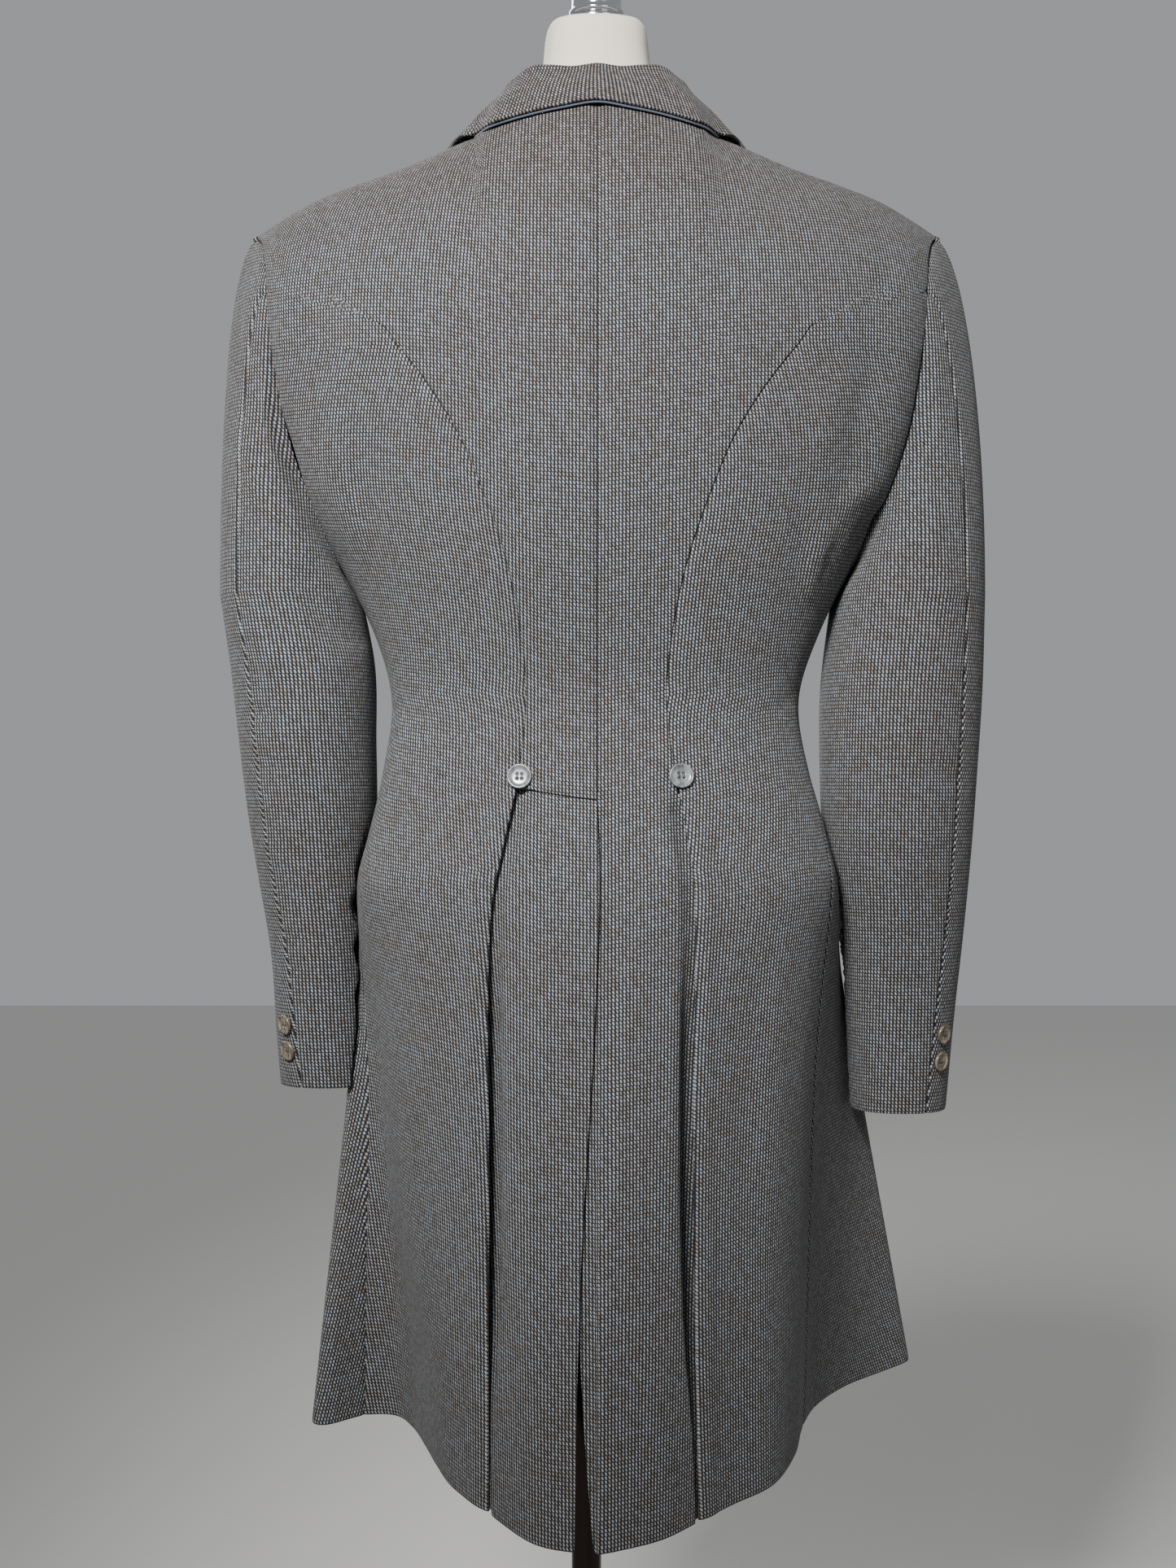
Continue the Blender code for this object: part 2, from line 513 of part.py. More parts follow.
def side_back(side, wool):
    """Armhole to hem, with the cloth at its back edge folded under below the waist."""
    inner_edge = np.concatenate([pleat_line(side), curved_seam(side)])
    outer_edge = side_seam(side, len(inner_edge))
    hole = armhole(HOLE_SIDE_BACK)[::-1]
    hole[0], hole[-1] = inner_edge[-1], outer_edge[-1]
    net = patch(inner_edge, outer_edge, hole, len(hole))[:, 1:]
    level, angle = net[..., 0], net[..., 1]
    normal = facing(surface, angle, level, side)
    face = surface(angle, level, side)
    turned = ramp(inner_edge[:, 0], 0.984, 0.957)[:, None]
    metres = local(inner_edge[:, 1], inner_edge[:, 0], side)[:, None]
    grids = []
    for plain, folded, inward in ((PLAIN_OUT, FOLD_OUT, 0.0), (PLAIN_IN, FOLD_IN, CLOTH)):
        rows = np.array(plain) + turned[..., None] * (np.array(folded) - np.array(plain))
        across_angle = inner_edge[:, 1:] + rows[..., 0] / metres
        across_level = inner_edge[:, :1] + 0 * across_angle
        edge = sunk(across_angle, across_level, side, rows[..., 1])
        grid = np.concatenate([edge, face - inward * normal], 1)
        grid[-1, :, 2] -= 0.6 * SEAM_GAP
        step = grid[:, -2] - grid[:, -1]
        grid[:, -1] += 0.6 * SEAM_GAP * step / np.linalg.norm(step, axis=-1, keepdims=True)
        grids.append(grid)
    wall("side_back_left" if side > 0 else "side_back_right", *grids, wool)


def roll_line(levels):
    """The front's edge: the closed front, then the line on which the lapel turns back."""
    return np.column_stack([levels, np.interp(levels, *np.asarray(ROLL_LINE).T)])


def front_net(side, columns):
    """Side seam, front armhole, shoulder seam and front edge."""
    rows = len(SKIRT_LEVELS) + SEAM_ROWS
    arm = armhole(HOLE_FRONT)[1:]
    outer = np.concatenate([side_seam(side, rows), arm])
    return patch(outer, roll_line(outer[:, 0]), None, columns, crowd=1.5)


def lapel_net():
    """The turned-back cloth on the chest, from the roll line out to its pointed edge."""
    levels = np.linspace(ROLL_BREAK + 0.012, 1.375, 9)
    roll = np.interp(levels, *np.asarray(ROLL_LINE).T) - 0.4
    rise = (levels - levels[0]) / (levels[-1] - levels[0])
    outer = roll - 4.0 - 30.0 * rise ** 0.8
    share = np.linspace(0, 1, 6)
    angle = roll[:, None] + share * (outer - roll)[:, None]
    tilt = 0.020 * rise[:, None] * share
    return np.stack([levels[:, None] - tilt, angle], -1)


def body_reach(y, z, side):
    """How far the body comes out sideways at given depths and heights, flutes and all."""
    angles = np.linspace(40, 165, 84)
    z = np.asarray(z)
    level = np.where(z < HIP_Z, HIP_Z - (HIP_Z - z) * (HIP_Z - HEM) / (HIP_Z - SIDE_HEM), z)
    ring = surface(angles, level[..., None], side)
    return (ring[..., 0] * side - 3 * np.abs(ring[..., 1] - np.asarray(y)[..., None])).max(-1)


def sleeve_surface(turn, run, side):
    """The sleeve's outer surface. turn goes round from the outer side over the back; run goes from
    the armhole (0) over the sleeve's head (1) to the cuff (2)."""
    turn = np.asarray(turn, float)
    run = np.clip(np.asarray(run, float) + 0 * turn, 0, 2)
    turn = turn + 0 * run
    c, s = np.cos(np.radians(turn)), np.sin(np.radians(turn))
    rows = np.asarray(SLEEVE[side])[::-1]
    top, cuff = rows[-1, 0], rows[0, 0]
    z = top + np.clip(run - 1, 0, 1) * (cuff - top)
    inner, outer, back, front = np.moveaxis(smooth(rows, z), -1, 0)
    power = 2 / 2.15
    x = (outer + inner) / 2 + (outer - inner) / 2 * np.sign(c) * np.abs(c) ** power
    y = (back + front) / 2 + (back - front) / 2 * np.sign(s) * np.abs(s) ** power
    end = np.stack([x, y, z], -1)
    edge = armhole(turn)
    start = surface(edge[..., 1], edge[..., 0], side)
    start[..., 0] = start[..., 0] * side + 0.0004
    start[..., 1] -= 0.0007 * s
    start[..., 2] -= 0.0007 * c
    upper = (1 + c) / 2
    lift = np.stack([0.007 + 0.013 * upper, 0.012 * s, -0.004 * upper], -1)
    hang = np.stack([0.006 * (1 - upper), 0 * s, 0.012 + 0.14 * upper ** 1.3], -1)
    t = np.clip(run, 0, 1)[..., None]
    head = (start * (1 - t) ** 3 + 3 * (start + lift) * t * (1 - t) ** 2
            + 3 * (end + hang) * t * t * (1 - t) + end * t ** 3)
    point = np.where(t < 1, head, end)
    high = np.minimum(point[..., 2], UNDERARM)
    clear = ARM_CLEAR * (1 + 0.45 * ramp(high, 1.115, 1.130) + 0.7 * ramp(high, 1.000, 0.950))
    need = body_reach(point[..., 1], high, side) + clear
    beside = point[..., 2] < UNDERARM + 0.0005
    point[..., 0] = np.where(beside, np.maximum(point[..., 0], need), point[..., 0])
    point[..., 0] *= side
    return point


def sleeve_piece(name, first_turns, side, wool):
    """Upper or under sleeve: the turns it covers at the armhole, carried down between the seams."""
    first_turns = np.asarray(first_turns, float)
    hind, fore = smooth(HIND_SEAM, SLEEVE_RUNS)[:, 0], smooth(FORE_SEAM, SLEEVE_RUNS)[:, 0]
    over = first_turns.max() > 360
    start = np.where(over, fore, hind)[:, None]
    stop = np.where(over, hind + 360, fore)[:, None]
    share = (first_turns - first_turns[0]) / (first_turns[-1] - first_turns[0])
    turn = start + share * (stop - start)
    run = SLEEVE_RUNS[:, None] + 0 * turn
    normal = facing(sleeve_surface, turn, run, side, step_a=1.0, step_b=0.01)
    face = sleeve_surface(turn, run, side)
    for edge, beside in ((0, 1), (-1, -2)):
        step = face[:, beside] - face[:, edge]
        face[:, edge] += 0.6 * SEAM_GAP * step / np.linalg.norm(step, axis=-1, keepdims=True)
    wall(name, face, face - CLOTH * normal, wool)


def collar_lines(side):
    """Base of the stand, fold and edge of the fall, station by station from the centre back."""
    st = COLLAR_STATIONS.astype(float)
    back = st <= 92
    behind, before = (
        np.stack([np.interp(st, table[:, 0], table[:, k]) for k in range(1, 5)], 1)
        for table in (np.array(COLLAR_BACK), np.array(COLLAR_FRONT))
    )
    stand, lean, edge_angle, edge_level = np.where(back[:, None], behind, before).T
    edge = surface(edge_angle, edge_level, side)
    edge += (COLLAR_T + FELT_T + COLLAR_LIFT) * facing(surface, edge_angle, edge_level, side)
    x = NECK_X * np.sin(np.radians(np.minimum(st, 90)))
    y, z = neckline(x, 0 * x)
    base = np.stack([x * side, y, z], -1)
    run_down = np.interp(st, (92, 132), (RIDGE, 1.4000))
    roll = surface(np.interp(run_down, *np.asarray(ROLL_LINE).T), run_down, side)
    base = np.where(back[:, None], base, roll)
    base[:, 2] += 0.0008
    middle = np.array([0.0, -0.004, 0.0])
    inward = middle - base
    inward[:, 2] = 0
    inward /= np.linalg.norm(inward, axis=1, keepdims=True)
    up = np.array([0.0, 0.0, 1.0])
    fold = base + lean[:, None] * inward + stand[:, None] * up
    return base, fold, edge, -inward, up


def collar_grids(side):
    """The collar's skin and inside as grids: up the stand, over the fold and down the fall."""
    base, fold, edge, out, up = collar_lines(side)
    fall = edge - fold
    along = np.gradient(base, axis=0)
    lie = np.cross(along, fall) * side
    lie /= np.linalg.norm(lie, axis=1, keepdims=True)
    lie *= np.sign((lie * (out + up)).sum(1, keepdims=True))
    skin = [
        base, base + 0.55 * (fold - base), fold - 0.12 * (fold - base),
        fold + 0.0006 * up + 0.0012 * out, fold + 0.12 * fall + 0.0012 * lie,
        fold + 0.5 * fall + 0.0022 * lie, edge,
    ]
    inside = [out, out, 0.8 * out - 0.4 * up, -1.2 * up + 0.1 * out, -lie, -lie, -lie]
    skin = np.stack(skin, 1)
    return skin, skin + COLLAR_T * np.stack(inside, 1), lie, fall


def both_sides(function):
    """One grid across the centre back from the two sides' grids."""
    left, right = function(+1), function(-1)
    return [np.concatenate([r[:0:-1], l]) for l, r in zip(left, right)]


def collar(wool, felt):
    """The top collar, and the strip of felt under the edge of its fall."""
    skin, inside = both_sides(lambda side: collar_grids(side)[:2])
    wall("collar", skin, inside, wool)

    def felt_grids(side):
        grid, _, lie, fall = collar_grids(side)
        reach = fall / np.linalg.norm(fall, axis=1, keepdims=True)
        step = grid[:, 6] - grid[:, 5]
        edge = grid[:, 6]
        top = np.stack([edge - 0.16 * step, edge - 0.08 * step, edge + FELT_SHOW * reach], 1)
        top = (top - (COLLAR_T + 3 * SEAM_GAP) * lie[:, None])[:FELT_STATIONS]
        return top, top - FELT_T * lie[:FELT_STATIONS, None]

    skin, inside = both_sides(felt_grids)
    wall("undercollar", skin, inside, felt)


def turned(name, profile, material, segments=24, place=(0, 0, 0), axis=(0, 0, 1)):
    """A closed turned solid from (radius, height) rows, its ends on the axis."""
    profile = np.asarray(profile, float)
    spin = np.radians(np.arange(segments) * 360 / segments)
    rings = profile[1:-1]
    ring = np.stack([np.outer(rings[:, 0], np.cos(spin)), np.outer(rings[:, 0], np.sin(spin)),
                     np.repeat(rings[:, 1:], segments, 1)], -1)
    points = np.concatenate([[[0, 0, profile[0, 1]]], ring.reshape(-1, 3), [[0, 0, profile[-1, 1]]]])
    faces = []
    for j in range(segments):
        k = (j + 1) % segments
        faces.append((0, 1 + k, 1 + j))
        for i in range(len(rings) - 1):
            a, b = 1 + i * segments, 1 + (i + 1) * segments
            faces.append((a + j, a + k, b + k, b + j))
        last = 1 + (len(rings) - 1) * segments
        faces.append((last + j, last + k, len(points) - 1))
    axis = np.asarray(axis, float) / np.linalg.norm(axis)
    aside = np.cross((0, 0, 1) if abs(axis[2]) < 0.9 else (0, 1, 0), axis)
    aside /= np.linalg.norm(aside)
    frame = np.stack([aside, np.cross(axis, aside), axis])
    return add_object(name, points @ frame + np.asarray(place), faces, material)


def button(name, spot, normal, diameter, material):
    """A flat-backed disc with a raised rim and a dished middle, just off the cloth."""
    profile = np.array(BUTTON_PROFILE) * diameter / 2
    turned(name, profile, material, 16, spot + BUTTON_STAND * normal, normal)


def on_coat(x, z, side):
    """The point and normal of the coat's surface near the back at a given x and height."""
    angles = np.linspace(0, 60, 241)
    angle = np.interp(x, surface(angles, z, side)[:, 0] * side, angles)
    return surface(angle, z, side), facing(surface, np.array(angle), z, side)


def buttons(horn, dark_horn):
    """Two buttons at the back waist, two on each cuff and three down the front."""
    for side, word in ((+1, "left"), (-1, "right")):
        spot, normal = on_coat(*BACK_BUTTONS[side], side)
        button(f"back_button_{word}", spot, normal, BACK_BUTTON, horn)
        length = SLEEVE[side][0][0] - SLEEVE[side][-1][0]
        for number, up in enumerate(CUFF_BUTTONS[side], 1):
            run = 2 - up / length
            turn = float(smooth(HIND_SEAM, np.array(run))[0]) - 12
            spot = sleeve_surface(turn, run, side)
            normal = facing(sleeve_surface, np.array(turn), np.array(run), side, 1.0, 0.01)
            button(f"cuff_button_{word}_{number}", spot, normal, CUFF_BUTTON, dark_horn)
    for number, level in enumerate(FRONT_BUTTONS, 1):
        angle = np.array(176.0)
        spot, normal = surface(angle, level, +1), facing(surface, angle, level, +1)
        button(f"front_button_{number}", spot, normal, FRONT_BUTTON, dark_horn)


def form(cover):
    """The torso form under the coat: no arms, closed at the bottom, with a plain round neck."""
    levels = FORM_LEVELS
    trims = np.interp(levels, *np.array(FORM_TRIM).T)
    angles = np.r_[FORM_TURNS, 180 - FORM_TURNS[-2::-1]]
    neck = 3
    rings = []
    for level, trim in zip(levels, trims):
        from_middle = np.minimum(angles, 180 - angles)
        trim = trim + 0.007 * ramp(level, 1.36, 1.43) * ramp(from_middle, 28, 15)
        left = surface(angles, level, +1, trim, FORM_SHOULDER_X)
        right = surface(angles, level, -1, trim, FORM_SHOULDER_X)
        rings.append(np.concatenate([left, right[-2:0:-1]]))
    around = len(rings[0])
    last = len(angles) - 1
    points = list(np.concatenate(rings))
    faces = []
    for i in range(len(levels) - 1):
        for j in range(around):
            k = (j + 1) % around
            a, b = i * around, (i + 1) * around
            faces.append((a + j, a + k, b + k, b + j))
    faces.append(tuple(range(around - 1, -1, -1)))
    top = (len(levels) - 1) * around

    def spot(j):
        return top + j % around

    for j in range(neck, last // 2):
        a, b, c, d = spot(j), spot(j + 1), spot(last - j - 1), spot(last - j)
        faces.append((a, b, c, d) if j + 1 < last - j - 1 else (a, b, d))
        a, b, c, d = spot(-j), spot(-j - 1), spot(last + 1 + j), spot(last + j)
        faces.append((d, c, b, a) if j + 1 < last - j - 1 else (d, b, a))
    loop = [*range(-neck, neck + 1), *range(last - neck, last + neck + 1)]
    ring = [spot(j) for j in loop]
    base = np.array([points[j] for j in ring])
    turn = np.arctan2(base[:, 0], base[:, 1] - 0.004)
    for radius, height, mix in NECK_RINGS:
        circle = np.stack([radius * np.sin(turn), 0.002 + radius * np.cos(turn), height + 0 * turn], -1)
        level_ring = base * (1 - mix) + circle * mix
        level_ring[:, 2] = base[:, 2] + (height - base[:, 2]) * (0.75 if mix < 1 else 1.0)
        first = len(points)
        points += list(level_ring)
        fresh = list(range(first, first + len(ring)))
        for j in range(len(ring)):
            k = (j + 1) % len(ring)
            faces.append((ring[j], ring[k], fresh[k], fresh[j]))
        ring = fresh
    faces.append(tuple(ring))
    add_object("form_torso", points, faces, cover)


def mount(chrome, dark_metal, painted):
    """Neck cap, pole and round base."""
    turned("neck_cap", CAP_PROFILE, chrome, 24, (0, 0, NECK_TOP + SEAM_GAP))
    start, end = BASE_PROFILE[-1][1] + SEAM_GAP, FORM_BOTTOM - SEAM_GAP
    pole = (
        (0, start), (POLE_R, start), (POLE_R, end - 0.016), (POLE_FLANGE, end - 0.012),
        (POLE_FLANGE, end), (0, end),
    )
    turned("pole", pole, dark_metal, 24, (POLE_X, 0, 0))
    turned("base", BASE_PROFILE, painted, 40)


def main():
    """Clears the scene and builds the coat, the form and its stand."""
    for thing in list(bpy.data.objects):
        bpy.data.objects.remove(thing, do_unlink=True)
    wool = material_of("wool", (0.19, 0.175, 0.165), 0.9)
    felt = material_of("collar_felt", (0.10, 0.115, 0.14), 0.95)
    horn = material_of("grey_horn", (0.36, 0.35, 0.31), 0.35)
    dark_horn = material_of("brown_horn", (0.075, 0.065, 0.05), 0.3)
    cover = material_of("form_cover", (0.62, 0.58, 0.50), 0.85)
    chrome = material_of("chrome", (0.75, 0.76, 0.78), 0.12, 1.0)
    dark_metal = material_of("dark_metal", (0.045, 0.035, 0.032), 0.25, 0.7)
    painted = material_of("painted_base", (0.05, 0.045, 0.042), 0.4)
    for side, word in ((+1, "left"), (-1, "right")):
        back_pieces(side, wool)
        side_back(side, wool)
        panel(f"front_{word}", front_net(side, 10), side, wool)
        panel(f"lapel_{word}", lapel_net(), side, wool, CLOTH + LAPEL_STAND)
        under = (*HOLE_SIDE_BACK[::-1], 195, 210, 225)
        upper = (*HOLE_FRONT[3:-1], *(360 + t for t in HOLE_BACK[::-1]))
        sleeve_piece(f"under_sleeve_{word}", under, side, wool)
        sleeve_piece(f"upper_sleeve_{word}", upper, side, wool)
    collar(wool, felt)
    buttons(horn, dark_horn)
    form(cover)
    mount(chrome, dark_metal, painted)


main()
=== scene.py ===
"""Looks of a wool frock coat on a limbless dress form: cloth, collar, buttons, form and stand.

Every cloth piece is a surface of two parameters worked out on a fine grid, with its seams, folds and
creases, and with a UV map in metres along the cloth's grain.
"""

import math

import bmesh
import bpy
import numpy as np
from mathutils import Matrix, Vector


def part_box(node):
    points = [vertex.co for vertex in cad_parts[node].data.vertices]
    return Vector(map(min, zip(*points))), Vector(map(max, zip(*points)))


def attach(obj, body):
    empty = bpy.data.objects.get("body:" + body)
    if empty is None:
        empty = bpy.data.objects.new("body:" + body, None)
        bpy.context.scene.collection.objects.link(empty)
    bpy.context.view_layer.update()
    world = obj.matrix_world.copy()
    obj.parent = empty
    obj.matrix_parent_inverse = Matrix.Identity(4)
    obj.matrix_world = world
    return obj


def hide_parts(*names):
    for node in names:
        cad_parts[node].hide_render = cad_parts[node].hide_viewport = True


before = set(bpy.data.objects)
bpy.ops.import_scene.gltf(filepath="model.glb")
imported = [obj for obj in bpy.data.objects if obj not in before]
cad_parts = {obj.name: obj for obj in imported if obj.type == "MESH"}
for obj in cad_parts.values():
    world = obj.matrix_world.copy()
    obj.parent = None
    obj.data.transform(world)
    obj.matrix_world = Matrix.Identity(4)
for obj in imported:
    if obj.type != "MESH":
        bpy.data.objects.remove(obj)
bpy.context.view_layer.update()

bl_info = {
    "name": "Frock coat on a dress form",
    "version": (1, 0, 0),
    "blender": (4, 5, 0),
    "location": "View3D > Sidebar > Frock coat",
    "description": "Builds a wool frock coat, the form that wears it and its stand",
    "category": "Add Mesh",
}

# Sizes shared by all pieces, in metres
CLOTH = 0.0020
HIP_Z = 0.930
HIP_STEP = 0.004
HIP_SOFT = 0.032
HIP_FALL = 2.5
PLEAT_CLOSE = 0.42
PLEAT_NARROW = 0.55
BLADE = 0.009
CHEST_Z = 1.300
RIDGE = 1.450
HEM = 0.466
WAIST_SEAM = 0.984
SIDE_HEM = 0.512
UNDERARM = 1.146
ROUNDNESS = 2.3
SHOULDER_X = 0.2535
NECK_X = 0.085
ROLL_BREAK = 1.170
LAPEL_STAND = 0.0026
PLEAT_DEPTH = 0.0088
PLEAT_MORE = 0.8
PLEAT_TUCK = 0.024
VENT_DEPTH = 0.0042
BACK_BUTTON = 0.018
CUFF_BUTTON = 0.015
FRONT_BUTTON = 0.020
BUTTON_STAND = 0.0012
ARM_CLEAR = 0.0034
RIDGE_Y = 0.020
NECK_BACK = 0.050
NECK_FRONT = 0.085
NECK_RISE = 0.012
NECK_DROP = 0.060
COLLAR_T = 0.0024
FELT_T = 0.0012
COLLAR_LIFT = 0.0020
FELT_SHOW = 0.0009
FELT_STATIONS = 6

# Body sections: height, half width left, half width right, back depth, front depth
SECTIONS = (
    (0.930, 0.1755, 0.1765, 0.104, 0.128), (0.970, 0.1650, 0.1660, 0.092, 0.118),
    (1.000, 0.1586, 0.1575, 0.085, 0.110), (1.055, 0.1526, 0.1505, 0.080, 0.105),
    (1.100, 0.1646, 0.1646, 0.091, 0.113), (1.146, 0.1875, 0.1875, 0.105, 0.122),
    (1.180, 0.2070, 0.2070, 0.113, 0.127), (1.215, 0.2240, 0.2240, 0.119, 0.130),
    (1.250, 0.2360, 0.2360, 0.123, 0.131), (1.300, 0.2455, 0.2455, 0.126, 0.128),
)
# Shoulder ridge: half width, height
SHOULDER_LINE = (
    (0.085, 1.4680), (0.110, 1.4580), (0.140, 1.4460), (0.180, 1.4330),
    (0.210, 1.4220), (0.235, 1.4085), (0.2535, 1.3970),
)
# Hem seen from above: angle round the body from the centre back, x, y, z
HEM_LEFT = (
    (0, 0.000, 0.160, 0.466), (12, 0.045, 0.146, 0.470), (22, 0.078, 0.107, 0.480),
    (34, 0.102, 0.080, 0.488), (48, 0.117, 0.044, 0.495), (60, 0.127, 0.012, 0.500),
    (72, 0.139, -0.022, 0.505), (82, 0.153, -0.040, 0.509), (91, 0.176, -0.041, 0.509),
    (100, 0.204, -0.024, 0.506), (108, 0.2155, -0.030, 0.507), (120, 0.204, -0.078, 0.512),
    (140, 0.150, -0.128, 0.518), (162, 0.070, -0.158, 0.520), (180, 0.000, -0.165, 0.520),
)
HEM_RIGHT = (
    (0, 0.000, 0.160, 0.466), (12, 0.046, 0.137, 0.470), (21, 0.073, 0.111, 0.475),
    (31, 0.096, 0.091, 0.480), (43, 0.127, 0.066, 0.487), (55, 0.147, 0.014, 0.494),
    (67, 0.157, -0.038, 0.500), (78, 0.171, -0.080, 0.506), (89, 0.199, -0.123, 0.511),
    (99, 0.229, -0.150, 0.515), (109, 0.254, -0.168, 0.520), (121, 0.246, -0.190, 0.520),
    (140, 0.180, -0.200, 0.520), (162, 0.080, -0.185, 0.520), (180, 0.000, -0.165, 0.520),
)
# Seams of the body: surface level, angle from the centre back, left +1 and right -1
PLEAT_LINE = {
    +1: (
        (0.466, 22.0), (0.700, 22.6), (0.860, 22.4), (0.911, 21.2), (0.934, 20.2), (0.955, 19.4),
        (0.990, 17.6),
    ),
    -1: (
        (0.466, 21.0), (0.700, 19.6), (0.860, 19.8), (0.911, 19.6), (0.934, 19.4), (0.955, 18.9),
        (0.990, 18.0),
    ),
}
CURVED_SEAM = (
    (0.990, 17.8), (1.036, 16.6), (1.082, 16.2), (1.136, 16.6), (1.191, 18.6), (1.236, 21.8),
    (1.268, 26.0), (1.294, 31.4), (1.320, 38.5), (1.333, 46.5), (1.341, 54.5), (1.346, 64.0),
    (1.349, 73.6),
)
ARMHOLE_BACK = (
    (1.146, 92.0), (1.150, 86.5), (1.160, 82.0), (1.180, 78.0), (1.215, 75.0), (1.284, 73.0),
    (1.349, 73.6), (1.385, 76.0), (1.420, 80.5), (1.450, 90.0),
)
ARMHOLE_FRONT = (
    (1.146, 92.0), (1.150, 97.0), (1.160, 102.0), (1.180, 107.0), (1.215, 110.5), (1.260, 111.0),
    (1.320, 108.0), (1.370, 103.5), (1.420, 98.0), (1.450, 90.0),
)
SIDE_SEAM = {
    +1: ((0.466, 91.0), (0.860, 89.0), (0.930, 88.0), (1.055, 93.0), (1.146, 92.0)),
    -1: ((0.466, 68.0), (0.850, 69.5), (0.930, 74.0), (1.020, 90.0), (1.055, 92.0), (1.146, 92.0)),
}
# Sleeve sections: height, inner x, outer x, back y, front y
SLEEVE = {
    +1: (
        (1.130, 0.1760, 0.2805, 0.064, -0.085), (1.080, 0.1665, 0.2735, 0.060, -0.083),
        (1.020, 0.1655, 0.2670, 0.052, -0.080), (0.968, 0.1655, 0.2615, 0.040, -0.080),
        (0.930, 0.1680, 0.2565, 0.029, -0.084), (0.860, 0.1700, 0.2470, 0.010, -0.093),
        (0.800, 0.1690, 0.2445, -0.006, -0.100), (0.761, 0.1680, 0.2425, -0.016, -0.106),
    ),
    -1: (
        (1.130, 0.1760, 0.2895, 0.064, -0.085), (1.060, 0.1680, 0.2880, 0.058, -0.082),
        (1.000, 0.1680, 0.2850, 0.048, -0.080), (0.940, 0.1720, 0.2820, 0.034, -0.083),
        (0.877, 0.1830, 0.2785, 0.012, -0.092), (0.816, 0.1900, 0.2740, -0.006, -0.102),
        (0.741, 0.1960, 0.2690, -0.022, -0.112),
    ),
}
HIND_SEAM = ((0.0, 70.4), (0.6, 58.0), (1.0, 52.0), (1.4, 50.0), (2.0, 64.0))
FORE_SEAM = ((0.0, 225.0), (1.0, 234.0), (2.0, 236.0))
# The front's edge: level, angle
ROLL_LINE = ((0.466, 179.7), (1.170, 179.7), (1.250, 172.5), (1.350, 165.5), (1.450, 163.2))
SKIRT_LEVELS = np.array((0.466, 0.53, 0.60, 0.67, 0.74, 0.81, 0.87, 0.911, 0.934, 0.955, 0.971, 0.984))
SEAM_ROWS = 10
SLEEVE_RUNS = np.array((
    0, 0.10, 0.22, 0.38, 0.58, 0.78, 0.90, 1.0, 1.12, 1.25, 1.37, 1.46, 1.53, 1.61, 1.74, 1.88, 2.0,
))
# Collar: station round the neck, stand height, lean to the neck, fall's edge as angle and level
COLLAR_STATIONS = np.array((0, 14, 28, 42, 56, 70, 82, 92, 104, 118, 132))
COLLAR_BACK = (
    (0, 0.0285, 0.0130, 0.0, 1.4305), (14, 0.0295, 0.0130, 3.6, 1.4300),
    (28, 0.0340, 0.0130, 7.5, 1.4285), (42, 0.0372, 0.0145, 10.8, 1.4268),
    (56, 0.0335, 0.0160, 14.0, 1.4258), (82, 0.0310, 0.0200, 19.0, 1.4350),
    (92, 0.0290, 0.0200, 20.3, 1.4500),
)
COLLAR_FRONT = (
    (92, 0.0290, 0.0200, 160.0, 1.4500), (104, 0.0230, 0.0160, 157.5, 1.4400),
    (132, 0.0100, 0.0060, 150.5, 1.4030),
)
# The edge of the tail at the back vent: level, distance from the middle
VENT_LEFT = (
    (0.466, 0.0160), (0.550, 0.0145), (0.690, 0.0098), (0.790, 0.0035), (0.850, 0.0005),
    (0.930, -0.0015), (0.984, 0.0002),
)
VENT_RIGHT = ((0.466, 0.0045), (0.500, 0.0075), (0.580, 0.0125), (0.750, 0.0185), (0.960, 0.0215))
VENT_STEP = ((0.466, 0.0035), (0.580, 0.0040), (0.800, -0.0060), (0.984, -0.0060))
# Rows across the tail beside the pleat: cloth from the folded edge, depth under it
TAIL_SKIRT = (
    (-0.016, 0.0), (-0.011, 0.16 * PLEAT_DEPTH), (-0.005, 0.78 * PLEAT_DEPTH), (0.001, PLEAT_DEPTH),
    (0.012, PLEAT_DEPTH), (PLEAT_TUCK, PLEAT_DEPTH),
)
TAIL_WAIST = (
    (-0.014, 0.0), (-0.009, 0.0008), (-0.004, 0.0026), (-0.0020, 0.0028), (-0.0012, 0.0028),
    (-0.0004, 0.0028),
)
# The side back's rear edge, outside and inside, as cloth from the seam and depth
FOLD_OUT = ((0.020, 0.005), (0.0025, 0.005), (0.0, 0.0025), (0.0007, 0.0007), (0.0025, 0.0))
FOLD_IN = ((0.020, 0.003), (0.0025, 0.003), (0.0020, 0.0025), (0.00215, 0.00215), (0.0025, 0.002))
PLAIN_OUT = ((0.0008, 0.0020), (0.0003, 0.0020), (0.0002, 0.0010), (0.0002, 0.0), (0.0025, 0.0))
PLAIN_IN = ((0.0011, 0.0020), (0.0014, 0.0020), (0.0017, 0.0020), (0.0020, 0.0020), (0.0025, 0.0020))
# Turns round the armhole, in degrees from the shoulder point over the back
HOLE_SIDE_BACK = (180, 165, 150, 135, 120, 105, 90, 70.4)
HOLE_BACK = (70.4, 56, 42, 28, 14, 0)
HOLE_FRONT = (180, 195, 210, 225, 240, 255, 270, 285, 300, 315, 330, 345, 360)

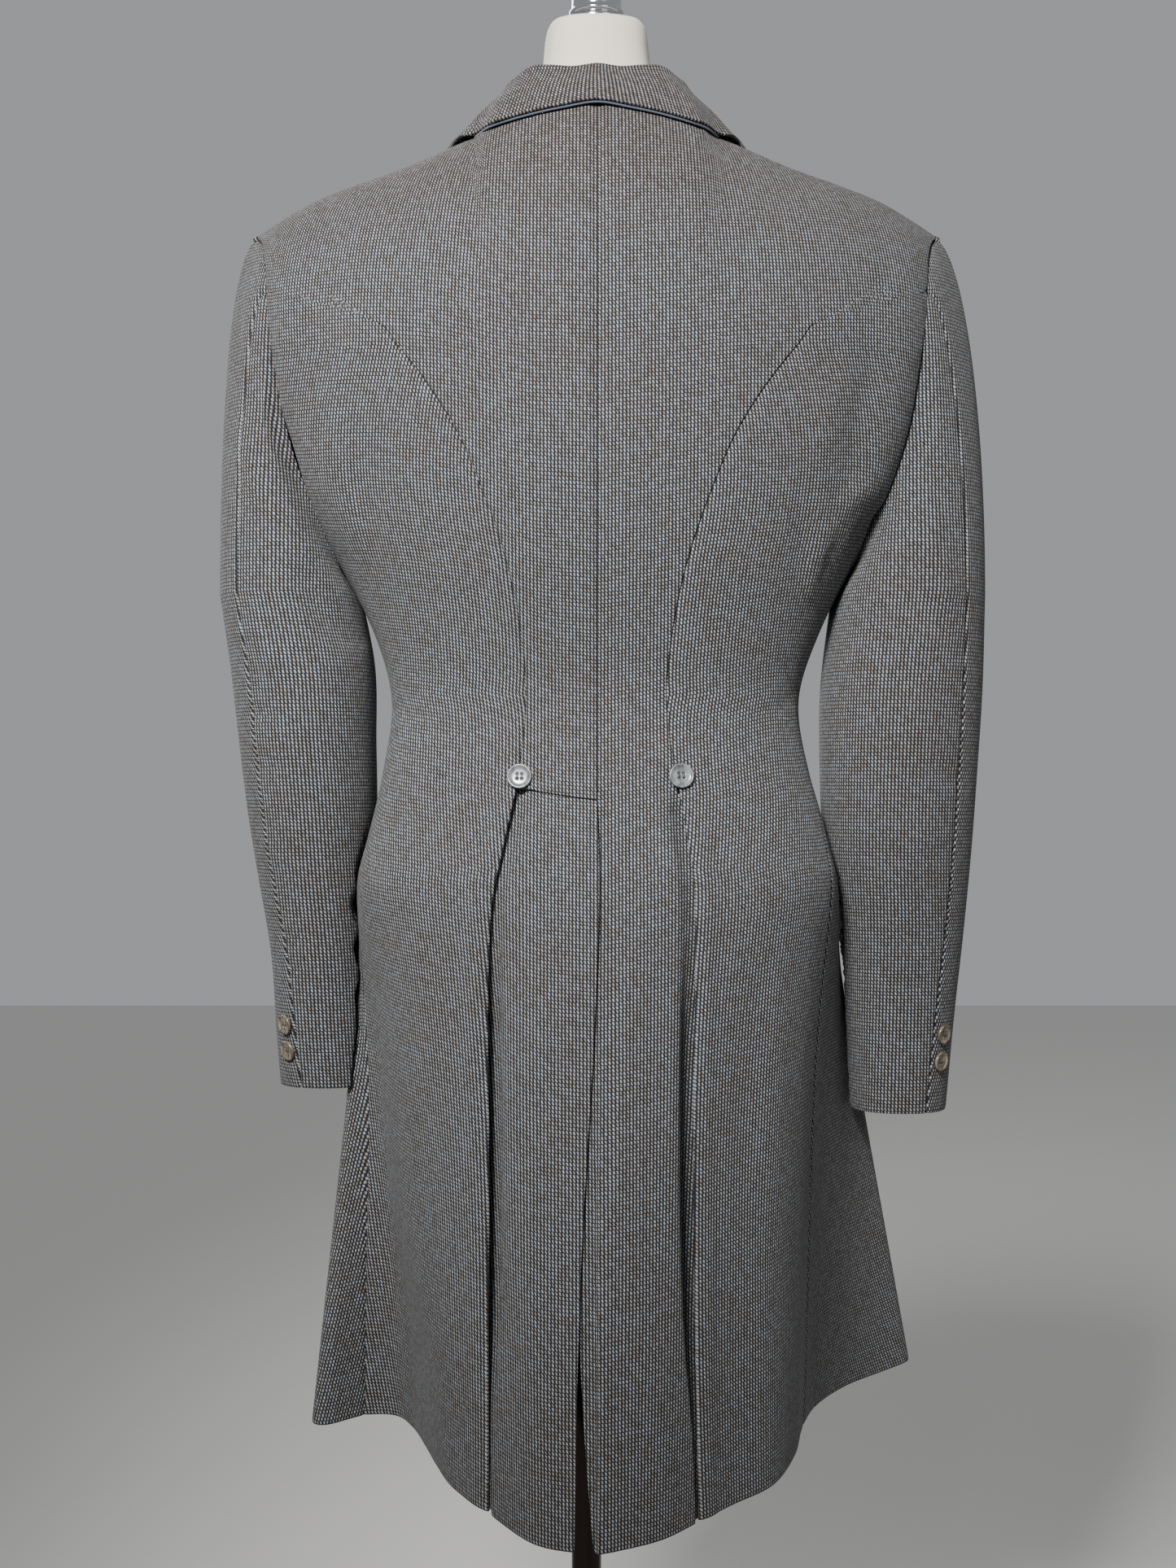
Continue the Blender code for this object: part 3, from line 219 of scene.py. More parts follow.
# Creases: back of the coat +1 or front -1, start x and z, end x and z, half width,
# depth (a trough is negative). Each fades towards both ends.
BODY_CREASES = (
    (+1, 0.214, 1.318, 0.191, 1.172, 0.013, -0.0022), (+1, 0.186, 1.296, 0.163, 1.142, 0.010, +0.0018),
    (+1, 0.164, 1.246, 0.146, 1.108, 0.012, -0.0020), (+1, 0.226, 1.262, 0.209, 1.206, 0.007, -0.0016),
    (+1, -0.206, 1.306, -0.186, 1.176, 0.012, -0.0022), (+1, -0.176, 1.286, -0.158, 1.170, 0.010, +0.0016),
    (+1, -0.160, 1.228, -0.147, 1.130, 0.010, -0.0020), (+1, -0.203, 1.342, -0.197, 1.338, 0.010, -0.0017),
    (+1, -0.201, 1.206, -0.171, 1.180, 0.006, +0.0030), (+1, -0.171, 1.180, -0.153, 1.120, 0.006, +0.0030),
    (+1, -0.212, 1.190, -0.186, 1.160, 0.007, -0.0032), (+1, 0.150, 0.912, 0.133, 0.545, 0.014, -0.0032),
    (+1, 0.116, 0.860, 0.108, 0.560, 0.016, +0.0022), (+1, -0.128, 0.900, -0.138, 0.580, 0.017, -0.0028),
    (+1, 0.050, 0.930, 0.056, 0.560, 0.013, -0.0016), (+1, 0.026, 0.900, 0.031, 0.520, 0.012, +0.0014),
    (+1, -0.040, 0.920, -0.046, 0.540, 0.013, +0.0015), (+1, 0.118, 1.026, 0.152, 1.050, 0.007, -0.0012),
    (+1, -0.112, 1.034, -0.149, 1.062, 0.006, -0.0011), (+1, 0.060, 1.372, 0.128, 1.350, 0.016, -0.0010),
    (-1, 0.060, 0.980, 0.142, 1.052, 0.009, -0.0016), (-1, -0.056, 0.986, -0.140, 1.060, 0.010, -0.0017),
    (-1, 0.088, 1.100, 0.150, 1.062, 0.008, +0.0013), (-1, 0.196, 1.286, 0.172, 1.180, 0.011, -0.0021),
    (-1, -0.192, 1.280, -0.168, 1.172, 0.012, -0.0019), (-1, 0.080, 0.900, 0.102, 0.560, 0.018, -0.0034),
    (-1, -0.090, 0.890, -0.122, 0.565, 0.020, -0.0036), (-1, 0.134, 0.860, 0.160, 0.580, 0.015, +0.0026),
    (-1, -0.148, 0.850, -0.182, 0.600, 0.017, +0.0028),
)
SLEEVE_CREASES = (
    (+1, 0.246, 1.284, 0.204, 1.198, 0.008, -0.0032), (+1, 0.262, 1.256, 0.222, 1.176, 0.008, +0.0022),
    (+1, 0.214, 1.152, 0.176, 1.088, 0.011, -0.0042), (+1, 0.258, 1.120, 0.214, 1.062, 0.010, +0.0020),
    (+1, 0.259, 1.047, 0.230, 1.038, 0.005, -0.0019), (+1, 0.252, 1.012, 0.226, 0.996, 0.006, -0.0015),
    (+1, 0.250, 0.950, 0.220, 0.930, 0.008, +0.0013), (+1, 0.240, 0.880, 0.208, 0.874, 0.004, -0.0011),
    (+1, 0.238, 0.858, 0.212, 0.851, 0.004, -0.0010), (+1, 0.226, 1.380, 0.262, 1.300, 0.012, +0.0010),
    (+1, -0.218, 1.158, -0.246, 1.100, 0.009, -0.0034), (+1, -0.236, 1.186, -0.262, 1.124, 0.008, +0.0022),
    (+1, -0.206, 1.120, -0.232, 1.050, 0.010, -0.0026), (+1, -0.224, 0.880, -0.246, 0.868, 0.005, -0.0013),
    (+1, -0.228, 0.846, -0.248, 0.836, 0.005, -0.0012), (+1, -0.240, 1.010, -0.270, 0.990, 0.007, -0.0014),
    (+1, -0.232, 1.250, -0.262, 1.180, 0.009, -0.0016), (+1, -0.252, 0.960, -0.224, 0.935, 0.009, +0.0012),
    (-1, 0.206, 1.060, 0.252, 1.040, 0.008, -0.0030), (-1, 0.202, 1.034, 0.246, 1.020, 0.007, -0.0024),
    (-1, 0.198, 1.084, 0.244, 1.074, 0.007, -0.0019), (-1, 0.210, 1.240, 0.250, 1.170, 0.010, -0.0022),
    (-1, -0.208, 1.056, -0.260, 1.034, 0.008, -0.0031), (-1, -0.204, 1.028, -0.256, 1.010, 0.007, -0.0023),
    (-1, -0.206, 1.082, -0.250, 1.076, 0.007, -0.0018), (-1, -0.212, 1.236, -0.254, 1.160, 0.011, -0.0023),
)


def smooth(rows, at):
    """A cubic through rows of (key, values...) with finite-difference slopes, read at keys."""
    rows = np.asarray(rows, float)
    keys, values = rows[:, 0], rows[:, 1:]
    slopes = np.gradient(values, keys, axis=0)
    at = np.clip(np.asarray(at, float), keys[0], keys[-1])
    low = np.clip(np.searchsorted(keys, at, side="right") - 1, 0, len(keys) - 2)
    width = (keys[low + 1] - keys[low])[..., None]
    t = (at - keys[low])[..., None] / width
    return (
        values[low] * (1 + 2 * t) * (1 - t) ** 2 + values[low + 1] * t * t * (3 - 2 * t)
        + slopes[low] * width * t * (1 - t) ** 2 - slopes[low + 1] * width * t * t * (1 - t)
    )


def ramp(value, start, end):
    """0 before start and 1 after end, with a soft S between."""
    t = np.clip((value - start) / (end - start), 0, 1)
    return t * t * (3 - 2 * t)


def above_waist(level):
    """1 where the back's edges are sewn and 0 where they are free, below the waist."""
    return ramp(level, 0.984, 0.991)


def unit(vectors):
    """Vectors at length one."""
    return vectors / np.maximum(np.linalg.norm(vectors, axis=-1, keepdims=True), 1e-12)


def section(angle, height, side):
    """A superellipse at a height: x = a |sin|^(2/n) on one side, y = b |cos|^(2/n)."""
    row = smooth(SECTIONS, height)
    half = row[..., 0] if side > 0 else row[..., 1]
    turn = np.radians(angle)
    cosine = np.cos(turn)
    depth = np.where(cosine > 0, row[..., 2], row[..., 3])
    x = half * np.abs(np.sin(turn)) ** (2 / ROUNDNESS)
    return x, depth * np.sign(cosine) * np.abs(cosine) ** (2 / ROUNDNESS)


def neckline(x, angle):
    """The top of the coat over x: the shoulder ridge, or inside it the neck's edge."""
    inside = np.sqrt(np.clip(1 - (x / (NECK_X + 0.0025)) ** 2, 0, 1))
    front = angle > 90
    ridge_y = RIDGE_Y * np.clip((SHOULDER_X - x) / (SHOULDER_X - NECK_X), 0, 1)
    y = np.where(x < NECK_X, RIDGE_Y + inside * np.where(front, -NECK_FRONT, NECK_BACK), ridge_y)
    shift = np.clip(1 - x / NECK_X, 0, 1) * np.where(front, -NECK_DROP, NECK_RISE)
    return y, smooth(SHOULDER_LINE, x)[..., 0] + shift


def surface(angle, level, side):
    """The coat's outer surface: straight lines from the hip to the hem's outline, a stack of
    sections up to the chest, and above it one cubic per column that bends over to the ridge. The
    hip runs on past its last section by L t exp(-t), and the back is fuller beside the armhole."""
    angle = np.asarray(angle, float)
    level = np.asarray(level, float) + 0 * angle
    angle = angle + 0 * level
    mirrored = np.where(angle < 0, -side, side)
    angle = np.abs(angle)
    z = np.clip(level, HIP_Z, CHEST_Z)
    x, y = section(angle, z, side)
    fall = np.clip((HIP_Z - level) / (HIP_Z - HEM), 0, None)
    hem = smooth(HEM_LEFT if side > 0 else HEM_RIGHT, angle)
    spread = fall ** 0.92
    higher = section(angle, z + HIP_STEP, side)
    t = np.clip(HIP_Z - level, 0, None) / HIP_SOFT
    carry = np.where(t > 0, HIP_SOFT * t * np.exp(-t), 0)
    lean = [
        carry * ((a - b) / HIP_STEP - HIP_FALL * (hem[..., k] - a))
        for k, (a, b) in enumerate(zip((x, y), higher))
    ]
    x = x + spread * (hem[..., 0] - x) + lean[0]
    y = y + spread * (hem[..., 1] - y) + lean[1]
    y = y + BLADE * (
        ramp(angle, 48, 68) * ramp(angle, 100, 80) * ramp(level, 1.14, 1.21) * ramp(level, 1.45, 1.38)
    )
    z = z + fall * (hem[..., 2] - z)
    over = np.clip((level - CHEST_Z) / (RIDGE - CHEST_Z), 0, None)
    top_x = x * SHOULDER_X / section(90.0, CHEST_Z, side)[0]
    top_y, top_z = neckline(top_x, angle)
    rise = top_z - CHEST_Z
    p0, p3 = np.stack([x, y, z], -1), np.stack([top_x, top_y, top_z], -1)
    p1 = np.stack([x + 0.35 * (top_x - x), y + 0.03 * y, z + 0.50 * rise], -1)
    p2 = np.stack([top_x, top_y + 0.46 * (y - top_y), top_z - 0.04 * rise], -1)
    t = over[..., None]
    bent = p0 * (1 - t) ** 3 + 3 * p1 * t * (1 - t) ** 2 + 3 * p2 * t * t * (1 - t) + p3 * t ** 3
    point = np.where(t > 0, bent, p0)
    point[..., 0] *= mirrored
    return point


def facing(function, a, b, side, step_a=0.4, step_b=0.002):
    """Outward unit normals of a surface function of (a, b), by small steps."""
    along_a = function(a + step_a, b, side) - function(a - step_a, b, side)
    along_b = function(a, b + step_b, side) - function(a, b - step_b, side)
    return unit(np.cross(along_b, along_a) * side)


def walk(path, count, side):
    """Points spread evenly by real length along a path of (level, angle) on the surface."""
    path = np.asarray(path, float)
    stops = np.arange(len(path))
    fine = np.linspace(0, len(path) - 1, 12 * len(path))
    level, angle = smooth(np.column_stack([stops, path]), fine).T
    spots = surface(angle, level, side)
    length = np.r_[0, np.cumsum(np.linalg.norm(np.diff(spots, axis=0), axis=1))]
    want = np.linspace(0, length[-1], count)
    return np.column_stack([np.interp(want, length, level), np.interp(want, length, angle)])


def patch(left, right, top, columns, crowd=1.0):
    """A Coons patch of (level, angle) rows between two side paths and a top row. crowd above 1
    gathers the columns towards the left path."""
    v = np.linspace(0, 1, len(left))[:, None, None]
    u = np.linspace(0, 1, columns)[None, :, None] ** crowd
    bottom = (1 - u[0]) * left[0] + u[0] * right[0]
    if top is None:
        top = (1 - u[0]) * left[-1] + u[0] * right[-1]
    corners = (
        (1 - u) * (1 - v) * left[0] + u * (1 - v) * right[0]
        + (1 - u) * v * left[-1] + u * v * right[-1]
    )
    sides = (1 - u) * left[:, None] + u * right[:, None]
    ends = (1 - v) * bottom[None] + v * top[None]
    return sides + ends - corners


def local(angle, level, side):
    """Metres of cloth in one degree round the body at a place on the surface."""
    span = surface(angle + 0.5, level, side) - surface(angle - 0.5, level, side)
    return np.linalg.norm(span, axis=-1)


def angle_at(x, levels, side):
    """The angle at which the surface has a given x near the centre back, level by level."""
    angles = np.linspace(-14, 14, 141)
    ring = surface(angles, levels[:, None], side)[..., 0] * side
    return np.array([np.interp(value, row, angles) for value, row in zip(x, ring)])


def pleat_line(side):
    """The folded edge of the side pleat, from the hem to the back button."""
    return np.column_stack([SKIRT_LEVELS, smooth(PLEAT_LINE[side], SKIRT_LEVELS)[:, 0]])


def side_seam(side, rows):
    """The seam from the hem to the underarm."""
    stops = np.linspace(0, 1, rows - len(SKIRT_LEVELS) + 1)[1:]
    levels = np.r_[SKIRT_LEVELS, SKIRT_LEVELS[-1] + stops * (UNDERARM - SKIRT_LEVELS[-1])]
    return np.column_stack([levels, smooth(SIDE_SEAM[side], levels)[:, 0]])


def armhole(turns):
    """The armhole's edge as (level, angle), by turns from the shoulder point over the back."""
    turns = np.asarray(turns, float)
    level = (RIDGE + UNDERARM) / 2 + (RIDGE - UNDERARM) / 2 * np.cos(np.radians(turns))
    behind = np.mod(turns, 360) <= 180
    angle = np.where(behind, smooth(ARMHOLE_BACK, level)[..., 0], smooth(ARMHOLE_FRONT, level)[..., 0])
    return np.stack([level, angle], -1)


def tail_net(side):
    """Level, angle and depth of a tail: the vent's edge, the flat and the part in the pleat."""
    levels = SKIRT_LEVELS
    fold = pleat_line(side)[:, 1]
    opened = ramp(levels, 0.984, 0.968)
    metres = local(fold, levels, side)
    skirt, waist = np.array(TAIL_SKIRT), np.array(TAIL_WAIST)
    skirt = skirt * np.ones((len(levels), 1, 1))
    closed = ramp(levels, 0.640, 0.480)[:, None]
    deeper = 1 + PLEAT_MORE * (1 - closed) * ramp(levels, 0.885, 0.800)[:, None]
    skirt[..., 1] *= (1 - PLEAT_CLOSE * closed) * deeper
    skirt[..., :3, 0] *= 1 - PLEAT_NARROW * closed
    rows = waist + opened[:, None, None] * (skirt - waist)
    angle = fold[:, None] + rows[..., 0] / metres[:, None]
    depth = rows[..., 1]
    if side > 0:
        vent = angle_at(smooth(VENT_LEFT, levels)[:, 0], levels, side)[:, None]
        vent_depth = np.zeros_like(vent)
    else:
        edge = opened * smooth(VENT_RIGHT, levels)[:, 0]
        step = np.minimum(smooth(VENT_STEP, levels)[:, 0], edge - 0.002)
        stops = np.stack([edge, step, step - 0.010], 1)
        vent = np.stack([angle_at(-stops[:, k], levels, side) for k in range(3)], 1)
        lap = opened * VENT_DEPTH + (1 - opened) * TAIL_WAIST[-1][1]
        vent_depth = np.array([1, 1, 0]) * lap[:, None]
    share = np.linspace(0, 1, 6)[1:-1]
    flat = vent[:, -1:] + share * (angle[:, :1] - vent[:, -1:])
    angle = np.concatenate([vent, flat, angle], 1)
    depth = np.concatenate([vent_depth, 0 * flat, depth], 1)
    return np.stack([levels[:, None] + 0 * angle, angle, depth], -1)


def back_net(side, columns):
    """The centre back above the waist: centre seam, curved seam, armhole and shoulder seam."""
    outer = np.concatenate([walk(CURVED_SEAM, SEAM_ROWS, side), armhole(HOLE_BACK)[1:]])
    rise = np.linspace(0, 1, len(outer))
    centre = np.column_stack([WAIST_SEAM + rise * (RIDGE - WAIST_SEAM), 0 * rise])
    net = patch(centre, outer, None, columns)
    return np.concatenate([net, 0 * net[..., :1]], -1)


def side_back_nets(side):
    """Armhole to hem as two nets, outside and inside, with the rear edge folded under."""
    inner_edge = np.concatenate([pleat_line(side), walk(CURVED_SEAM, SEAM_ROWS, side)])
    outer_edge = side_seam(side, len(inner_edge))
    hole = armhole(HOLE_SIDE_BACK)[::-1]
    hole[0], hole[-1] = inner_edge[-1], outer_edge[-1]
    net = patch(inner_edge, outer_edge, hole, len(hole))[:, 1:]
    turned = ramp(inner_edge[:, 0], 0.984, 0.957)[:, None, None]
    metres = local(inner_edge[:, 1], inner_edge[:, 0], side)[:, None]
    nets = []
    for plain, folded, inward in ((PLAIN_OUT, FOLD_OUT, 0.0), (PLAIN_IN, FOLD_IN, CLOTH)):
        rows = np.array(plain) + turned * (np.array(folded) - np.array(plain))
        angle = inner_edge[:, 1:] + rows[..., 0] / metres
        edge = np.stack([inner_edge[:, :1] + 0 * angle, angle, rows[..., 1]], -1)
        body = np.concatenate([net, 0 * net[..., :1] + inward], -1)
        nets.append(np.concatenate([edge, body], 1))
    return nets


def front_net(side, columns):
    """Side seam, front armhole, shoulder seam and front edge."""
    rows = len(SKIRT_LEVELS) + SEAM_ROWS
    outer = np.concatenate([side_seam(side, rows), armhole(HOLE_FRONT)[1:]])
    edge = np.column_stack([outer[:, 0], np.interp(outer[:, 0], *np.asarray(ROLL_LINE).T)])
    net = patch(outer, edge, None, columns, crowd=1.5)
    return np.concatenate([net, 0 * net[..., :1]], -1)


def lapel_net():
    """The turned-back cloth on the chest, from the roll line out to its pointed edge."""
    levels = np.linspace(ROLL_BREAK + 0.012, 1.375, 9)
    roll = np.interp(levels, *np.asarray(ROLL_LINE).T) - 0.4
    rise = (levels - levels[0]) / (levels[-1] - levels[0])
    outer = roll - 4.0 - 30.0 * rise ** 0.8
    share = np.linspace(0, 1, 6)
    angle = roll[:, None] + share * (outer - roll)[:, None]
    level = levels[:, None] - 0.020 * rise[:, None] * share
    return np.stack([level, angle, 0 * angle - CLOTH - LAPEL_STAND], -1)


def body_table(side):
    """How far the body comes out sideways, on a grid of depth y and height z, flutes and all:
    the largest of |x| - 3 |y - y0| round each section."""
    y, z = np.linspace(-0.13, 0.09, 56), np.linspace(0.70, UNDERARM, 90)
    level = np.where(z < HIP_Z, HIP_Z - (HIP_Z - z) * (HIP_Z - HEM) / (HIP_Z - SIDE_HEM), z)
    ring = surface(np.linspace(40, 165, 84), level[:, None], side)
    out, back = ring[..., 0] * side, ring[..., 1]
    return y, z, (out[:, None] - 3 * np.abs(back[:, None] - y[:, None])).max(-1)


def bilinear(rows, columns, table, a, b):
    """Reads a table at (a, b) by straight lines between its evenly spaced rows and columns."""
    i = np.clip((a - rows[0]) / (rows[1] - rows[0]), 0, len(rows) - 1.001)
    j = np.clip((b - columns[0]) / (columns[1] - columns[0]), 0, len(columns) - 1.001)
    i0, j0 = i.astype(int), j.astype(int)
    p, q = i - i0, j - j0
    low = table[i0, j0] * (1 - q) + table[i0, j0 + 1] * q
    high = table[i0 + 1, j0] * (1 - q) + table[i0 + 1, j0 + 1] * q
    return low * (1 - p) + high * p


BODY_TABLES = {+1: body_table(+1), -1: body_table(-1)}


def sleeve_surface(turn, run, side):
    """The sleeve's outer surface: a cubic from the armhole over the sleeve's head (run 0 to 1),
    then superellipse sections down to the cuff (run 2). turn goes round from the outer side over
    the back. Where it hangs beside the body it keeps clear of it."""
    turn = np.asarray(turn, float)
    run = np.clip(np.asarray(run, float) + 0 * turn, 0, 2)
    turn = turn + 0 * run
    c, s = np.cos(np.radians(turn)), np.sin(np.radians(turn))
    rows = np.asarray(SLEEVE[side])[::-1]
    top, cuff = rows[-1, 0], rows[0, 0]
    z = top + np.clip(run - 1, 0, 1) * (cuff - top)
    inner, outer, back, front = np.moveaxis(smooth(rows, z), -1, 0)
    power = 2 / 2.15
    x = (outer + inner) / 2 + (outer - inner) / 2 * np.sign(c) * np.abs(c) ** power
    y = (back + front) / 2 + (back - front) / 2 * np.sign(s) * np.abs(s) ** power
    end = np.stack([x, y, z], -1)
    edge = armhole(turn)
    start = surface(edge[..., 1], edge[..., 0], side)
    start[..., 0] = start[..., 0] * side - 0.0022
    start[..., 1] -= 0.0016 * s
    start[..., 2] -= 0.0007 * c
    upper = (1 + c) / 2
    lift = np.stack([0.007 + 0.013 * upper, 0.002 * s, -0.004 * upper], -1)
    hang = np.stack([0.006 * (1 - upper), 0 * s, 0.012 + 0.14 * upper ** 1.3], -1)
    t = np.clip(run, 0, 1)[..., None]
    head = (
        start * (1 - t) ** 3 + 3 * (start + lift) * t * (1 - t) ** 2
        + 3 * (end + hang) * t * t * (1 - t) + end * t ** 3
    )
    point = np.where(t < 1, head, end)
    high = np.minimum(point[..., 2], UNDERARM)
    ys, zs, reach = BODY_TABLES[side]
    clear = ARM_CLEAR * (1 + 0.45 * ramp(high, 1.115, 1.130) + 0.7 * ramp(high, 1.000, 0.950))
    need = bilinear(zs, ys, reach, high, point[..., 1]) + clear
    beside = point[..., 2] < UNDERARM + 0.0005
    point[..., 0] = np.where(beside, np.maximum(point[..., 0], need), point[..., 0])
    point[..., 0] *= side
    return point


def sleeve_net(first_turns):
    """Upper or under sleeve as (run, turn, depth), from the turns it covers at the armhole."""
    first_turns = np.asarray(first_turns, float)
    hind, fore = smooth(HIND_SEAM, SLEEVE_RUNS)[:, 0], smooth(FORE_SEAM, SLEEVE_RUNS)[:, 0]
    over = first_turns.max() > 360
    start = np.where(over, fore, hind)[:, None]
    stop = np.where(over, hind + 360, fore)[:, None]
    share = (first_turns - first_turns[0]) / (first_turns[-1] - first_turns[0])
    turn = start + share * (stop - start)
    return np.stack([SLEEVE_RUNS[:, None] + 0 * turn, turn, 0 * turn], -1)


def places(keys, step):
    """Where to sample along keys: about a step apart, with a few close ones at both ends."""
    inner = []
    for low, high in zip(keys[:-1], keys[1:]):
        count = max(2 if high - low < 0.004 else 3, int(np.ceil((high - low) / step)))
        inner.append(np.linspace(low, high, count, endpoint=False))
    near = np.array((0.0006, 0.0013, 0.0022, 0.0034))
    every = np.concatenate([*inner, keys[-1:], keys[0] + near, keys[-1] - near])
    every = np.sort(every[(every >= keys[0]) & (every <= keys[-1])])
    keep = np.r_[True, np.diff(every) > 0.00025]
    every = every[keep]
    every[-1] = keys[-1]
    return every


def chord_keys(points, axis):
    """Distance along a grid of points in one direction, taken as the mean of its rows."""
    step = np.linalg.norm(np.diff(points, axis=axis), axis=-1).mean(1 - axis)
    return np.r_[0, np.cumsum(np.maximum(step, 0.00012))]


def refined(net, keys, at, axis):
    """A net read at finer places in one direction, by a cubic through its own rows."""
    rows = np.moveaxis(net, axis, 0)
    table = np.column_stack([keys, rows.reshape(len(keys), -1)])
    return np.moveaxis(smooth(table, at).reshape(len(at), *rows.shape[1:]), 0, axis)


def creased(points, normals, creases):
    """The sum of the listed creases at each point: depth * exp(-(d / half width)^2), where d is
    the distance in x and z from the crease's line, fading along it as sin(pi t)^0.7."""
    total = np.zeros(points.shape[:-1])
    flat = points[..., (0, 2)]
    for face, x0, z0, x1, z1, width, depth in creases:
        start, span = np.array((x0, z0)), np.array((x1 - x0, z1 - z0))
        t = ((flat - start) @ span) / (span @ span)
        bow = 0.18 * np.sin(math.pi * np.clip(t, 0, 1)) * np.linalg.norm(span)
        aside = (flat - start) @ np.array((-span[1], span[0])) / np.linalg.norm(span)
        fade = np.sin(math.pi * np.clip(t, 0, 1)) ** 0.7
        seen = ramp(normals[..., 1] * face, -0.15, 0.35)
        total += depth * np.exp(-((aside - 0.4 * bow) / width) ** 2) * fade * seen
    return total


def add_mesh(name, points, faces, uv=None):
    """A mesh object at the origin from an array of points, of faces and of UVs by point."""
    mesh = bpy.data.meshes.new(name)
    mesh.vertices.add(len(points))
    mesh.vertices.foreach_set("co", np.ascontiguousarray(points, np.float32).ravel())
    mesh.loops.add(faces.size)
    mesh.loops.foreach_set("vertex_index", faces.ravel().astype(np.int32))
    mesh.polygons.add(len(faces))
    mesh.polygons.foreach_set("loop_start", np.arange(0, faces.size, faces.shape[1], dtype=np.int32))
    mesh.update(calc_edges=True)
    if uv is not None:
        layer = mesh.uv_layers.new(name="grain")
        layer.data.foreach_set("uv", np.ascontiguousarray(uv[faces.ravel()], np.float32).ravel())
    mesh.shade_smooth()
    thing = bpy.data.objects.new(name, mesh)
    bpy.context.scene.collection.objects.link(thing)
    return thing


def shell_faces(rows, columns):
    """Quads of a closed wall between two grids: outside, inside and the rim between them."""
    index = np.arange(rows * columns).reshape(rows, columns)
    other = index + rows * columns
    quad = np.stack([index[:-1, :-1], index[:-1, 1:], index[1:, 1:], index[1:, :-1]], -1).reshape(-1, 4)
    inside = np.stack([other[1:, :-1], other[1:, 1:], other[:-1, 1:], other[:-1, :-1]], -1).reshape(-1, 4)
    ring = np.concatenate([index[0], index[1:, -1], index[-1, -2::-1], index[-2:0:-1, 0]])
    after = np.roll(ring, -1)
    rim = np.stack([after, ring, ring + rows * columns, after + rows * columns], -1)
    return np.concatenate([quad, inside, rim])


def outward(thing):
    """Turns a closed mesh's faces outwards."""
    shell = bmesh.new()
    shell.from_mesh(thing.data)
    bmesh.ops.recalc_face_normals(shell, faces=shell.faces)
    if shell.calc_volume(signed=True) < 0:
        bmesh.ops.reverse_faces(shell, faces=shell.faces)
    shell.to_mesh(thing.data)
    shell.free()
    return thing


def grid_area(points):
    """The area of a grid of points, as the sum of half the cross products of its diagonals."""
    one = points[1:, 1:] - points[:-1, :-1]
    two = points[1:, :-1] - points[:-1, 1:]
    return float(np.linalg.norm(np.cross(one, two), axis=-1).sum() / 2)


def arc_table(side):
    """Metres of cloth round the body and up it, for each level and angle of the surface."""
    levels, angles = np.linspace(HEM, RIDGE, 124), np.linspace(-15, 180, 391)
    ring = surface(angles, levels[:, None], side)
    round_it = np.linalg.norm(np.diff(ring, axis=1), axis=-1)
    up = np.linalg.norm(np.diff(ring, axis=0), axis=-1)
    across = np.concatenate([0 * levels[:, None], np.cumsum(round_it, 1)], 1)
    height = np.concatenate([0 * angles[None], np.cumsum(up, 0)], 0)
    zero = np.argmin(np.abs(angles))
    return levels, angles, across - across[:, zero:zero + 1], height


ARC_TABLES = {+1: arc_table(+1), -1: arc_table(-1)}


def grain(net, side, line, tilt):
    """UV in metres along the cloth's grain: u is the way round at one level from a grain line,
    v the way up. line gives that line as (level, angle), tilt its lean in the skirt."""
    levels, angles, across, height = ARC_TABLES[side]
    level, angle = net[..., 0], net[..., 1]
    reference = np.interp(level, *np.asarray(line, float).T)
    u = bilinear(levels, angles, across, level, angle) - bilinear(levels, angles, across, level, reference)
    v = bilinear(levels, angles, height, level, angle)
    return np.stack([u * side + tilt * side * np.clip(WAIST_SEAM - level, 0, None), v], -1)


class Piece:
    """The flat size of a finished grid of cloth, worked out from its outer points and its UV."""

    def __init__(self, outer, uv):
        self.width = float(np.ptp(uv[..., 0], axis=1).max())
        self.area = grid_area(outer)
        self.length = max(float(np.ptp(uv[..., 1])), self.area / self.width)


def make_cloth(name, nodes, outer, inner, uv, material):
    rows, columns = outer.shape[:2]
    points = np.concatenate([outer.reshape(-1, 3), inner.reshape(-1, 3)])
    flat = uv.reshape(-1, 2)
    thing = outward(add_mesh(name, points, shell_faces(rows, columns), np.concatenate([flat, flat])))
    thing.data.materials.append(material)
    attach(thing, "root")
    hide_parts(*nodes)
    return thing


def seamed(points, normals, levels, keys_across, keys_along, seams, sizes, groove=None):
    """Presses a grid's sewn edges in, and rounds its free ones: both follow exp(-(d / w)^2), where
    d is the distance from the edge. seams gives weights for the first and last column and row."""
    across = keys_across[None, :] - keys_across[0], keys_across[-1] - keys_across[None, :]
    along = keys_along[:, None] - keys_along[0], keys_along[-1] - keys_along[:, None]
    sink = np.zeros(points.shape[:-1])
    for distance, weight in zip((*across, *along), seams):
        fall = np.exp(-(distance / sizes.seam_width) ** 2)
        sewn = weight(levels) if callable(weight) else weight
        sink += fall * (sewn * sizes.seam_depth + 0.2 * CLOTH)
    if groove is not None:
        fall = np.exp(-((keys_across[None, :] - groove) / sizes.seam_width) ** 2)
        sink += fall * above_waist(levels) * sizes.seam_depth * 1.2
    return points - np.minimum(sink, 1.4 * sizes.seam_depth + 0.2 * CLOTH)[..., None] * normals


